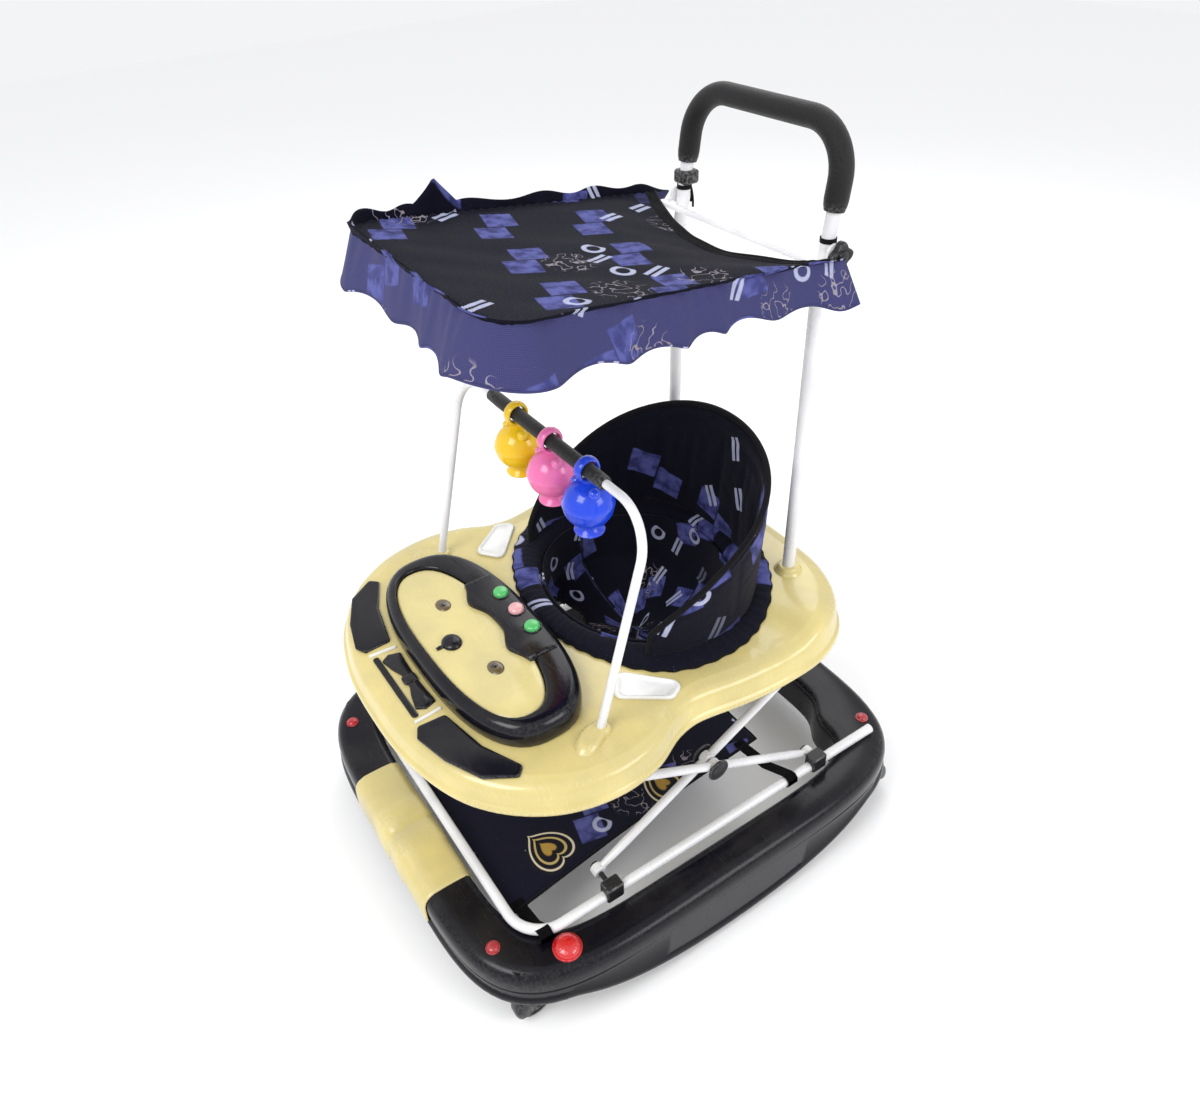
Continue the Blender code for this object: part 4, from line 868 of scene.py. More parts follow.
def mat_cloth():
    """The printed cloth with two gold hearts along the mat's left side."""
    material = woven("mat_cloth", NAVY)
    tree = material.node_tree
    weave = next(node for node in tree.nodes if node.type == "GROUP" and node.node_tree == WEAVE)
    colour = weave.inputs["Colour"].links[0].from_socket
    place = next(node for node in tree.nodes if node.type == "UVMAP").outputs[0]
    for centre in HEARTS:
        inside = heart_mask(tree, place, centre, HEART_SIZE, HEART_TURN)
        colour = blend(tree, fade(tree, inside, -0.75, -0.72), colour, HEART_FIELD)
        colour = blend(tree, band(tree, inside, -0.42, 0.05, 0.04), colour, HEART_LINE)
        colour = blend(tree, band(tree, inside, 0.02, 0.06, 0.04), colour, HEART_RIM)
        colour = blend(tree, fade(tree, inside, 0.45, 0.60), colour, HEART_GOLD)
    tree.links.new(colour, weave.inputs["Colour"])
    return material


def foot_mat(tape):
    mat = shown("printed_mat", sheet_grid(mat_point, 72, 84), mat_cloth(), "base", ["foot_mat"])
    cloth_map(mat, lambda point: (point.x, point.y))
    thicken(mat, MAT_CLOTH)
    shares = [k / 30 for k in range(31)]
    border = [mat_point(u, 0) for u in shares] + [mat_point(1, v) for v in shares[1:]]
    border += [mat_point(1 - u, 1) for u in shares[1:]] + [mat_point(0, 1 - v) for v in shares[1:]]
    rings = sweep(border, BINDING_RADIUS, 10)[:-1]
    binding = shown("mat_binding", skin(rings, closed=True), tape, "base")
    cloth_map(binding, lambda point: (point.x + point.y, point.z))
    straps = []
    for side in (-1, 1):
        for v in STRAP_SHARES:
            x, y, z = mat_point(0.5 + 0.5 * side, v)
            end = side * (TUBE_X + TUBE_RADIUS + 0.0012)
            line = [(x - side * 0.012, z + 0.0016), (x + side * 0.004, z + 0.0020),
                    ((x + end) / 2, z + 0.010), (end - side * 0.013, 0.1312), (end - side * 0.006, 0.1330),
                    (end, 0.1290), (end, 0.1200), (end - side * 0.004, 0.1168)]
            strap = [[(px, y + edge, pz) for px, pz in line] for edge in (-STRAP_HALF, STRAP_HALF)]
            bm = bmesh.new()
            lower, upper = [[bm.verts.new(point) for point in row] for row in strap]
            for k in range(len(line) - 1):
                bm.faces.new((lower[k], lower[k + 1], upper[k + 1], upper[k]))
            bmesh.ops.solidify(bm, geom=bm.faces[:], thickness=STRAP_THICKNESS)
            straps.append(bm)
    webbing = shown("mat_straps", joined(*straps), tape, "base", sharp=60)
    cloth_map(webbing, lambda point: (point.x + point.z, point.y))


TAPE = woven("black_tape", (0.006, 0.006, 0.008, 1.0), printed=False, threads=260.0, sheen=0.05)
foot_mat(TAPE)


# ---------------------------------------------------------------- tray
# One thick cream moulding, waisted at the child's hips, with a rolled lower rim. The deck rises a little
# round the posts, the toy bar's feet stand in long tapered sockets, and two white dishes lie in it.

TRAY_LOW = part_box("tray_shell")[0].z
TRAY_DECK = 0.374
TRAY_RISE = 0.014
TRAY_WALL = 0.003
OPENING_Y = 0.062
OPENING_HALF_X = 0.155
OPENING_HALF_Y = 0.135
TRAY_STATIONS = 240
TRAY_OUTLINE = ((0.0, -0.342), (0.10, -0.334), (0.19, -0.300), (0.250, -0.235), (0.272, -0.160),
                (0.265, -0.095), (0.244, -0.050), (0.238, -0.010), (0.248, 0.050), (0.253, 0.120),
                (0.246, 0.190), (0.216, 0.245), (0.155, 0.280), (0.08, 0.291), (0.0, 0.293))
POST_X = 0.130
POST_FOOT_Y = 0.232
POST_RADIUS = 0.0085
BAR_FOOT = (0.208, -0.139)
TRAY_CREAM = moulded("tray_cream", CREAM, gloss=0.20, grain=0.25, wear=0.30, dust=0.05, coat=0.45)


def smoothstep(low, high, value):
    """A share eased from 0 at low to 1 at high."""
    t = min(max((value - low) / (high - low), 0.0), 1.0)
    return t * t * (3 - 2 * t)


def tray_polar():
    """The outline's corners as angles and distances round the opening's middle, both sides."""
    both_sides = list(TRAY_OUTLINE) + [(-x, y) for x, y in TRAY_OUTLINE[-2:0:-1]]
    return sorted((math.atan2(y - OPENING_Y, x), math.hypot(x, y - OPENING_Y)) for x, y in both_sides)


TRAY_POLAR = tray_polar()


def tray_outer(angle):
    """Distance from the opening's middle to the outline, smooth between its corners."""
    angle = (angle + math.pi) % math.tau - math.pi
    here = sum(1 for a, r in TRAY_POLAR if a <= angle) - 1
    knots = []
    for k in range(here - 1, here + 3):
        turns, index = divmod(k, len(TRAY_POLAR))
        knots.append((TRAY_POLAR[index][0] + math.tau * turns, TRAY_POLAR[index][1]))
    (a0, r0), (a1, r1), (a2, r2), (a3, r3) = knots
    t = (angle - a1) / (a2 - a1)
    slope1 = (r2 - r0) / (a2 - a0) * (a2 - a1)
    slope2 = (r3 - r1) / (a3 - a1) * (a2 - a1)
    return ((2 * t ** 3 - 3 * t ** 2 + 1) * r1 + (t ** 3 - 2 * t ** 2 + t) * slope1
            + (3 * t ** 2 - 2 * t ** 3) * r2 + (t ** 3 - t ** 2) * slope2)


def opening(angle):
    """Distance from the opening's middle to its edge."""
    return superellipse(OPENING_HALF_X, OPENING_HALF_Y, 2.0, angle)


def deck_height(x, y):
    """The deck: level in front, raised round the posts, softly waved along its rear quarters, and with
    a low step along each side."""
    rise = TRAY_RISE * smoothstep(0.10, 0.22, y)
    wave = 0.0022 * math.sin(y * 62 + abs(x) * 8) * smoothstep(0.06, 0.14, y) * smoothstep(0.17, 0.21, abs(x))
    along = smoothstep(-0.045, -0.035, y) * smoothstep(0.10, 0.085, y)
    step = 0.0016 * along * smoothstep(0.195, 0.205, abs(x))
    return TRAY_DECK + rise + wave + step


def tray_station(angle):
    """The tray's section at one angle: rolled rim, skirt, deck, rolled lip of the opening, underside."""
    outer, inner = tray_outer(angle), opening(angle)
    c, s = math.cos(angle), math.sin(angle)

    def over(r, lift):
        return (r * c, OPENING_Y + r * s, deck_height(r * c, OPENING_Y + r * s) + lift)

    rim = ((0.0008, 0.0), (0.0032, 0.0010), (0.0044, 0.0038), (0.0042, 0.0075), (0.0028, 0.0100),
           (0.0006, 0.0112), (-0.0004, 0.0130))
    shoulder = ((-0.0030, -0.0130), (-0.0052, -0.0072), (-0.0088, -0.0036), (-0.0145, -0.0012),
                (-0.0225, -0.0002), (-0.0245, 0.0006), (-0.0275, 0.0010))
    lip = ((0.010, 0.0004), (0.004, -0.0008), (0.001, -0.0040), (0.0, -0.0160), (TRAY_WALL, -0.0160),
           (0.005, -0.0060))
    section = [((outer + r) * c, OPENING_Y + (outer + r) * s, TRAY_LOW + z) for r, z in rim]
    span = outer - inner
    section += [over(outer + r, lift) for r, lift in shoulder]
    section += [over(inner + 0.010 + (span - 0.0395) * k, 0.0010) for k in (0.85, 0.7, 0.55, 0.4, 0.25, 0.12)]
    section += [over(inner + r, lift) for r, lift in lip]
    section += [over(inner + 0.010 + (span - 0.035) * k, -TRAY_WALL) for k in (0.0, 0.5, 1.0)]
    section += [over(outer - 0.011, -0.0110),
                ((outer - 0.0035) * c, OPENING_Y + (outer - 0.0035) * s, TRAY_LOW)]
    return section


def tapered_socket(x, y, side):
    """The long teardrop pad that a foot of the toy bar stands in, with its point towards the front."""
    rings = []
    for lift, grow in ((-0.001, 1.16), (0.002, 1.10), (0.0062, 0.98), (0.0078, 0.80), (0.0078, 0.56)):
        ring = []
        for i in range(40):
            angle = math.tau * i / 40
            reach = 0.0120 + 0.026 * max(0.0, math.cos(angle + math.pi / 2)) ** 3
            lean = side * 0.30 * max(0.0, -math.sin(angle)) * reach
            ring.append((x + grow * (reach * math.cos(angle) + lean), y + grow * reach * math.sin(angle),
                         TRAY_DECK + lift))
        rings.append(ring)
    return skin(rings)


def post_socket(x):
    """A stepped round collar moulded where a post enters the tray."""
    y = POST_FOOT_Y
    floor = deck_height(x, y)
    profile = ((-0.002, 0.0205), (0.0015, 0.0195), (0.0030, 0.0172), (0.0055, 0.0160), (0.0085, 0.0148),
               (0.0102, 0.0130), (0.0104, 0.0100))
    return turned((x, y, floor), (0, 0, 1), profile, 40)


def tray():
    stations = [tray_station(math.tau * i / TRAY_STATIONS) for i in range(TRAY_STATIONS)]
    fittings = [tapered_socket(side * BAR_FOOT[0], BAR_FOOT[1], side) for side in SIDES.values()]
    fittings += [post_socket(side * POST_X) for side in SIDES.values()]
    shown("tray_moulding", joined(skin(stations, closed=True), *fittings), TRAY_CREAM, "tray",
          ["tray_shell"], sharp=60)


def rounded_loop(corners, radius, steps):
    """A closed level outline with every corner rounded; corners are (x, y)."""
    around = [(x, y, 0) for x, y in corners + corners[:2]]
    return rounded_path(around, radius, steps)[1:-1]


def inset_rings(outline, steps, base):
    """Rings of an outline drawn in towards its middle; steps lists (distance inward, height)."""
    middle = sum(outline, Vector()) / len(outline)
    rings = []
    for inward, z in steps:
        ring = []
        for point in outline:
            away = point - middle
            ring.append(middle + away * max(0.0, 1 - inward / away.length) + Vector((0, 0, base + z)))
        rings.append(ring)
    return rings


def snack_dishes():
    """Shallow three-cornered dishes with a rounded rim and a dished floor."""
    dish_white = moulded("dish_white", (0.82, 0.82, 0.80), gloss=0.22, grain=0.3, wear=0.2, dust=0.06,
                         coat=0.4)
    corners = ((0.142, -0.072), (0.178, -0.100), (0.222, -0.040), (0.207, -0.012))
    steps = ((0.0012, 0.0015), (0.0, 0.0030), (0.0008, 0.0052), (0.0028, 0.0066), (0.0050, 0.0064),
             (0.0072, 0.0048), (0.0095, 0.0032), (0.0140, 0.0024))
    for word, side in SIDES.items():
        outline = rounded_loop(tuple((side * x, y) for x, y in corners), 0.011, 10)
        rings = inset_rings(outline, steps, TRAY_DECK)
        shown("snack_dish_" + word, skin(rings), dish_white, "tray", ["snack_cup_" + word],
              sharp=60)


def tray_rails():
    """The tube frame under the deck keeps its own shape and gets the tubes' paint."""
    for word in SIDES:
        soften("tray_rail_" + word, TUBE_WHITE, 0.0006)


tray()
snack_dishes()
tray_rails()


# ---------------------------------------------------------------- play console
# A glossy black housing screwed to the tray, with a recess for a cream bear face. The round forehead
# patch behind the face carries three push buttons; the eyes, nose and mouth are separate mouldings.

CONSOLE_LOW, CONSOLE_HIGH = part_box("play_console")
CONSOLE_Y = (CONSOLE_LOW.y + CONSOLE_HIGH.y) / 2
CONSOLE_HALF_X = CONSOLE_HIGH.x
CONSOLE_HALF_Y = (CONSOLE_HIGH.y - CONSOLE_LOW.y) / 2
CONSOLE_TOP = CONSOLE_HIGH.z
FACE_LOW, FACE_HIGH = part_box("face_plate")
FACE_Y = (FACE_LOW.y + FACE_HIGH.y) / 2
FACE_HALF_X = FACE_HIGH.x
FACE_HALF_Y = (FACE_HIGH.y - FACE_LOW.y) / 2
CONSOLE_POWER = 2.6
FACE_POWER = 2.4
EYE_PLACE = (0.072, -0.202)
PUPIL_PLACE = (0.0705, -0.203)
NOSE_Y = -0.226
FOREHEAD_HALF = 0.088
BUTTON_Y = -0.130
BEZEL_GAP = 0.0007
BUTTON_COLOURS = {"right": (0.07, 0.52, 0.13), "middle": (0.80, 0.40, 0.42), "left": (0.07, 0.52, 0.13)}
PLATE_CREAM = moulded("face_cream", (0.70, 0.60, 0.25), gloss=0.22, grain=0.3, wear=0.2, dust=0.05, coat=0.4)
CONSOLE_BLACK = moulded("console_black", BLACK, gloss=0.12, grain=0.2, wear=0.15, dust=0.015, coat=0.08,
                        shine=0.28)


def oval(centre_y, half_x, half_y, power, z, count=112):
    """A level superellipse ring around (0, centre_y)."""
    ring = []
    for i in range(count):
        angle = math.tau * i / count
        r = superellipse(half_x, half_y, power, angle)
        ring.append((r * math.cos(angle), centre_y + r * math.sin(angle), z))
    return ring


def console_housing():
    """The housing's wall, its rounded top and the recess that the face plate lies in."""
    low = TRAY_DECK + 0.0006
    height = CONSOLE_TOP - low
    wall = ((0.0020, 0.0), (0.0006, 0.002), (0.0, 0.010), (0.0, 0.016), (0.0008, 0.55 * height + 0.003),
            (0.0024, height - 0.0075), (0.0052, height - 0.0035), (0.0090, height - 0.0010), (0.0140, height))
    rings = [oval(CONSOLE_Y, CONSOLE_HALF_X - inset, CONSOLE_HALF_Y - inset, CONSOLE_POWER, low + z)
             for inset, z in wall]
    recess = ((0.0052, 0.0), (0.0030, -0.0006), (0.0014, -0.0024), (0.0010, -0.0060), (0.0010, -0.0098))
    rings += [oval(FACE_Y, FACE_HALF_X + grow, FACE_HALF_Y + grow, FACE_POWER, CONSOLE_TOP + z)
              for grow, z in recess]
    shown("console_housing", skin(rings), CONSOLE_BLACK, "tray", ["play_console"], sharp=60)


def low_dome(x, y, half_x, half_y, base, steps, count):
    """A low oval dome; steps lists (inset, height)."""
    turns = [math.tau * i / count for i in range(count)]
    return skin([[(x + (half_x - inset) * math.cos(a), y + (half_y - inset) * math.sin(a), base + z)
                  for a in turns] for inset, z in steps])


EYE_STEPS = ((0.0, -0.0010), (0.0, 0.0006), (0.0014, 0.0018), (0.0042, 0.0026), (0.0080, 0.0030))
NOSE_STEPS = ((0.0, -0.0010), (0.0, 0.0010), (0.0012, 0.0034), (0.0036, 0.0052), (0.0080, 0.0062),
              (0.0120, 0.0065))


def face():
    """The crowned face plate, and its eyes, nose and mouth."""
    base = FACE_LOW.z + 0.0003
    steps = ((0.0, 0.0), (0.0, 0.0030), (0.0010, 0.0046), (0.0034, 0.0054), (0.012, 0.0058), (0.026, 0.0061),
             (0.042, 0.0063))
    rings = [oval(FACE_Y, FACE_HALF_X - inset, FACE_HALF_Y - inset, FACE_POWER, base + z)
             for inset, z in steps]
    shown("bear_face", skin(rings), PLATE_CREAM, "tray", ["face_plate"], sharp=60)
    top = base + 0.0061
    brown = moulded("eye_brown", (0.115, 0.075, 0.022), gloss=0.18, grain=0.2, wear=0.1, dust=0.03, coat=0.6)
    pupil = moulded("eye_dark", (0.018, 0.013, 0.008), gloss=0.10, grain=0.1, wear=0.1, dust=0.02, coat=0.8)
    for word, side in SIDES.items():
        iris = low_dome(side * EYE_PLACE[0], EYE_PLACE[1], 0.0128, 0.0100, top, EYE_STEPS, 36)
        shown("eye_" + word, iris, brown, "tray")
        dot = turned((side * PUPIL_PLACE[0], PUPIL_PLACE[1], top + 0.0022), (0, 0, 1),
                     ((0, 0.0046), (0.0010, 0.0043), (0.0018, 0.0030), (0.0021, 0.0010)), 24)
        shown("pupil_" + word, dot, pupil, "tray")
    nose = low_dome(0.0, NOSE_Y, 0.0150, 0.0132, top, NOSE_STEPS, 40)
    line = [(0.0, -0.2375, top + 0.0004), (0.0, -0.2420, top + 0.0006), (0.0, -0.2475, top + 0.0004)]
    mouth = skin(sweep(line, [0.0026, 0.0030, 0.0024], 16))
    shown("nose", joined(nose, mouth), CONSOLE_BLACK, "tray")


def forehead_edge(x):
    """Front edge of the forehead patch: two soft lobes with a shallow dip between them."""
    lobes = math.exp(-((abs(x) - 0.052) / 0.022) ** 2)
    return -0.1605 - 0.0135 * lobes


def forehead_patch():
    """The raised black patch that overlaps the face and the housing's rear rim."""
    count = 36
    shares = [2 * i / count - 1 for i in range(count + 1)]
    front = [(FOREHEAD_HALF * share, forehead_edge(FOREHEAD_HALF * share)) for share in shares]
    rear = [(-FOREHEAD_HALF * share, -0.1160 - 0.006 * abs(share) ** 3) for share in shares]
    outline = [Vector((x, y, 0)) for x, y in front + rear]
    low = FACE_HIGH.z + 0.0005
    high = CONSOLE_TOP + 0.0034
    rings = inset_rings(outline, ((0.0, 0.0), (0.0, high - low - 0.0024), (0.0008, high - low - 0.0010),
                                  (0.0024, high - low - 0.0002), (0.0050, high - low)), low)
    shown("forehead_patch", skin(rings), CONSOLE_BLACK, "tray", ["button_panel"],
          sharp=60)
    return high


def push_buttons(top):
    """Domed caps, each in a thin raised bezel that is part of the patch."""
    for word, colour in BUTTON_COLOURS.items():
        low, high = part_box("button_" + word)
        x, r = (low.x + high.x) / 2, (high.x - low.x) / 2
        finish = moulded("button_" + word + "_finish", colour, gloss=0.18, grain=0.2, wear=0.2, dust=0.04,
                         coat=0.5)
        crown = high.z - top + 0.0006
        foot = top - low.z
        profile = ((foot - 0.0011, r), (foot + crown * 0.35, r), (foot + crown * 0.68, r * 0.94),
                   (foot + crown * 0.90, r * 0.78), (foot + crown, r * 0.50),
                   (foot + crown * 1.04, r * 0.15))
        shown("push_button_" + word, turned((x, BUTTON_Y, low.z), (0, 0, 1), profile, 40), finish,
              "button_" + word, ["button_" + word])
        section = ((0.0, -0.001), (0.0, 0.0008), (0.0006, 0.0012), (0.0016, 0.0010), (0.0022, -0.001))
        edge = r + BEZEL_GAP
        bezel = [[Vector((x, BUTTON_Y, top)) + Vector(((edge + s) * math.cos(a), (edge + s) * math.sin(a), z))
                  for s, z in section] for a in (math.tau * i / 40 for i in range(40))]
        shown("button_bezel_" + word, skin(bezel, closed=True), CONSOLE_BLACK, "tray")


def front_inlays():
    """Black inlays in the tray's front: two ears, a bow between them and the long slot under it."""
    low = TRAY_DECK + 0.0004
    steps = ((0.0, 0.0006), (0.0, 0.0026), (0.0007, 0.0037), (0.0022, 0.0042), (0.0060, 0.0043))
    ear = ((0.080, -0.2800), (0.150, -0.2660), (0.202, -0.2420), (0.213, -0.2530), (0.190, -0.2890),
           (0.142, -0.3120), (0.094, -0.3240), (0.078, -0.3160))
    for word, side in SIDES.items():
        outline = rounded_loop(tuple((side * x, y) for x, y in ear), 0.0045, 6)
        shown("ear_inlay_" + word, skin(inset_rings(outline, steps, low)), CONSOLE_BLACK, "tray",
              ["ear_panel_" + word], sharp=60)
    half = ((0.0, -0.2810), (0.030, -0.2800), (0.052, -0.2785), (0.057, -0.2940), (0.050, -0.3050),
            (0.030, -0.3010), (0.014, -0.2950))
    bow = half + tuple((-x, y) for x, y in half[:0:-1])
    bow_steps = ((0.0, 0.0006), (0.0, 0.0022), (0.0006, 0.0031), (0.0018, 0.0035))
    bow_body = skin(inset_rings(rounded_loop(bow, 0.0022, 5), bow_steps, low))
    knot_loop = rounded_loop(((-0.007, -0.2985), (0.007, -0.2985), (0.0085, -0.2800), (-0.0085, -0.2800)),
                             0.003, 5)
    knot = skin(inset_rings(knot_loop, ((0.0, 0.002), (0.0, 0.0040), (0.0010, 0.0050), (0.0028, 0.0053)),
                            low))
    shown("bow_inlay", joined(bow_body, knot), CONSOLE_BLACK, "tray", ["tie_inlay"],
          sharp=60)
    slot = rounded_loop(((-0.062, -0.3195), (-0.062, -0.3115), (0.062, -0.3115), (0.062, -0.3195)), 0.0035, 6)
    curved = [Vector((p.x, p.y + 1.6 * p.x ** 2, 0)) for p in slot]
    slot_steps = ((0.0, 0.0004), (0.0, 0.0018), (0.0006, 0.0024), (0.0016, 0.0026))
    shown("music_slot", skin(inset_rings(curved, slot_steps, low)), CONSOLE_BLACK, "tray",
          sharp=60)
    fins = []
    for side in SIDES.values():
        line = ((side * 0.066, -0.2790), (side * 0.0675, -0.2960), (side * 0.0690, -0.3150))
        fins.append(skin(sweep([(x, y, TRAY_DECK + 0.0016) for x, y in line], 0.0024, 14)))
    rib_white = moulded("rib_white", (0.80, 0.79, 0.72), gloss=0.25, dust=0.05)
    shown("bow_side_ribs", joined(*fins), rib_white, "tray", sharp=60)


console_housing()
face()
push_buttons(forehead_patch())
front_inlays()


# ---------------------------------------------------------------- toy bar
# A white tube arch plugged into the tray, with a foam sleeve over its middle. Three rattles hang from
# the sleeve by their rings: a ball with a flared foot, two little ears and a moulded waist line.

BAR_TOP_Y = -0.068
BAR_TOP_Z = 0.655
BAR_RADIUS = 0.0055
SLEEVE_RADIUS = 0.009
FOAM_ROUNDING = 0.0022
TOY_RADIUS = 0.031
TOY_DROP = 0.047
TOY_COLOURS = {"toy_yellow": (0.86, 0.55, 0.01), "toy_pink": (0.82, 0.17, 0.42),
               "toy_blue": (0.008, 0.055, 0.66)}


def foam_skin():
    """Closed-cell foam: matt black with fine open pores and a faint grey bloom."""
    material = moulded("foam_black", (0.004, 0.004, 0.005), gloss=0.55, grain=0.5, wear=0.2, dust=0.03,
                       relief=0.0004, shine=0.25)
    tree = material.node_tree
    shader = tree.nodes["Principled BSDF"]
    place = put(tree, "ShaderNodeTexCoord").outputs["Object"]
    pores = put(tree, "ShaderNodeTexVoronoi", {"Vector": place, "Scale": 700.0},
                feature="F1").outputs["Distance"]
    relief = put(tree, "ShaderNodeBump", {"Height": pores, "Distance": 0.0006, "Strength": 0.8})
    tree.links.new(relief.outputs[0], shader.inputs["Normal"])
    shader.inputs["Sheen Weight"].default_value = 0.15
    return material


FOAM = foam_skin()


def foam_sleeve(path, outer, inner, sides=36):
    """A hollow foam tube with softly rounded ends."""
    path = [Vector(point) for point in path]
    count = len(path)
    radii = [outer - FOAM_ROUNDING * max(0, 2 - min(i, count - 1 - i)) ** 2 / 4 for i in range(count)]
    outside = sweep(path, radii, sides)
    return skin(outside + sweep(path, inner, sides)[::-1], closed=True)


def divided(path, step):
    """The same path with extra points, so that no stretch is longer than step."""
    result = [Vector(path[0])]
    for before, after in zip(path, path[1:]):
        parts = max(1, round((Vector(after) - Vector(before)).length / step))
        result += [Vector(before).lerp(Vector(after), k / parts) for k in range(1, parts + 1)]
    return result


def toy_arch():
    foot = (BAR_FOOT[0], BAR_FOOT[1], TRAY_DECK + 0.0040)
    shoulder = (BAR_FOOT[0] + 0.006, BAR_TOP_Y, BAR_TOP_Z)
    corners = [(-foot[0], *foot[1:]), (-shoulder[0], *shoulder[1:]), shoulder, foot]
    arch = skin(sweep(divided(rounded_path(corners, 0.055, 16), 0.03), BAR_RADIUS, 24))
    shown("toy_arch", arch, TUBE_WHITE, "tray", ["toy_bar"])
    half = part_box("bar_sleeve")[1].x
    line = divided([(-half, BAR_TOP_Y, BAR_TOP_Z), (-half + 0.001, BAR_TOP_Y, BAR_TOP_Z),
                    (half - 0.001, BAR_TOP_Y, BAR_TOP_Z), (half, BAR_TOP_Y, BAR_TOP_Z)], 0.02)
    sleeve = shown("arch_sleeve", foam_sleeve(line, SLEEVE_RADIUS, BAR_RADIUS + 0.0004), FOAM, "tray",
                   ["bar_sleeve"])


def rattle(x):
    """One rattle, turned about its own upright axis, with its ring, ears and foot."""
    profile = [(0.0135, 0.0052), (0.0150, 0.0062)]
    for k in range(2, 29):
        polar = math.pi * k / 30
        waist = 0.0007 if 14 <= k <= 15 else 0.0
        profile.append((TOY_DROP - TOY_RADIUS * math.cos(polar), TOY_RADIUS * math.sin(polar) + waist))
    low = TOY_DROP + TOY_RADIUS
    profile += [(low - 0.0020, 0.0120), (low + 0.0010, 0.0128), (low + 0.0040, 0.0165),
                (low + 0.0062, 0.0188), (low + 0.0076, 0.0184), (low + 0.0080, 0.0150)]
    ball = turned((x, BAR_TOP_Y, BAR_TOP_Z), (0, 0, -1), profile, 48)
    rings = []
    section = [(0.0132 + 0.0031 * math.cos(a), 0.0066 * math.sin(a))
               for a in (math.tau * k / 14 for k in range(14))]
    for i in range(48):
        angle = math.tau * i / 48
        rings.append([(x + s, BAR_TOP_Y + r * math.cos(angle), BAR_TOP_Z + r * math.sin(angle))
                      for r, s in section])
    parts = [ball, skin(rings, closed=True)]
    for side in (-1, 1):
        lean = Vector((side * 0.62, -0.10, 0.78)).normalized()
        middle = Vector((x, BAR_TOP_Y, BAR_TOP_Z - TOY_DROP))
        ear = ((TOY_RADIUS - 0.004, 0.0075), (TOY_RADIUS + 0.001, 0.0070), (TOY_RADIUS + 0.004, 0.0050),
               (TOY_RADIUS + 0.0052, 0.0018))
        parts.append(turned(middle, lean, ear, 24))
    return joined(*parts)


def toys():
    for name, colour in TOY_COLOURS.items():
        low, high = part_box(name)
        finish = moulded(name + "_finish", colour, gloss=0.16, grain=0.15, wear=0.15, dust=0.02, coat=0.25,
                         shine=0.4)
        finish.node_tree.nodes["Principled BSDF"].inputs["Subsurface Weight"].default_value = 0.06
        body = rattle((low.x + high.x) / 2)
        shown("rattle_" + name.removeprefix("toy_"), body, finish, name, [name], sharp=45)


toy_arch()
toys()


# ---------------------------------------------------------------- seat
# The seat is sewn from printed cloth over wadding: a hanging bucket with two leg holes, a gathered
# collar that covers the opening's edge, and a stuffed wall round the back and sides with black piping.

SEAT_LOW = 0.262
LEG_HOLE_RADIUS = 0.040
FAR_FROM_HOLE = 9.0
LEG_HOLE_ENDS = ((0.062, 0.02, 0.318), (0.075, -0.12, 0.262))
BUCKET_INSET = 0.0105
BUCKET_CLOTH = 0.0024
COLLAR_WIDTH = 0.045
COLLAR_NARROWING = 0.40
COLLAR_TUCK = 0.009
COLLAR_GATHERS = 46
BACK_SPAN = 120.0
BACK_POWER = 2.2
BACK_RISE = 0.178
BACK_LEAN = 0.018
BACK_HALF_X = 0.179
BACK_HALF_Y = 0.155
BACK_THICKNESS = 0.015
WADDING_VOXEL = 0.0048
WADDING_PRESSURE = 5.0
WADDING_REACH = 0.0065
MAP_RADIUS = 0.155
SEAT_NAVY = (0.004, 0.004, 0.012, 1.0)
SEAT_CLOTH = woven("seat_cloth", SEAT_NAVY, sheen=0.06)


def collar_point(u, v):
    """The collar from the opening's edge (v 0) to its hem on the deck (v 1), gathered all round."""
    angle = math.tau * u
    inner = opening(angle) - COLLAR_TUCK
    front = smoothstep(0.3, 1.0, -math.sin(angle))
    r = inner + v * (COLLAR_WIDTH * (1 - COLLAR_NARROWING * front) + COLLAR_TUCK)
    x, y = r * math.cos(angle), OPENING_Y + r * math.sin(angle)
    wander = noise.noise(Vector((4 * math.cos(angle), 4 * math.sin(angle), 0.7)))
    phase = COLLAR_GATHERS * angle + 1.6 * wander
    gather = math.sin(phase) * (0.25 + 0.75 * v) * 0.0011
    loft = 0.0090 * math.sin(math.pi * (0.12 + 0.80 * v)) ** 0.7
    edge = -0.010 * (1 - smoothstep(0.0, 0.18, v))
    return (x + gather * math.cos(angle), y + gather * math.sin(angle),
            deck_height(x, y) + 0.0018 + loft + edge + abs(gather) * 0.9)


def ring_sheet(point, columns, rows):
    """A sheet that closes on itself round the seat."""
    bm = bmesh.new()
    grid = [[bm.verts.new(point(i / columns, j / rows)) for i in range(columns)] for j in range(rows + 1)]
    for lower, upper in zip(grid, grid[1:]):
        for i in range(columns):
            k = (i + 1) % columns
            bm.faces.new((lower[i], lower[k], upper[k], upper[i]))
    return bm


def round_map(point):
    """Cloth round the seat: along by the turn, across by the distance from the opening and the height."""
    angle = math.atan2(point.y - OPENING_Y, point.x)
    reach = math.hypot(point.x, point.y - OPENING_Y)
    return (MAP_RADIUS * angle, point.z + 0.7 * reach)


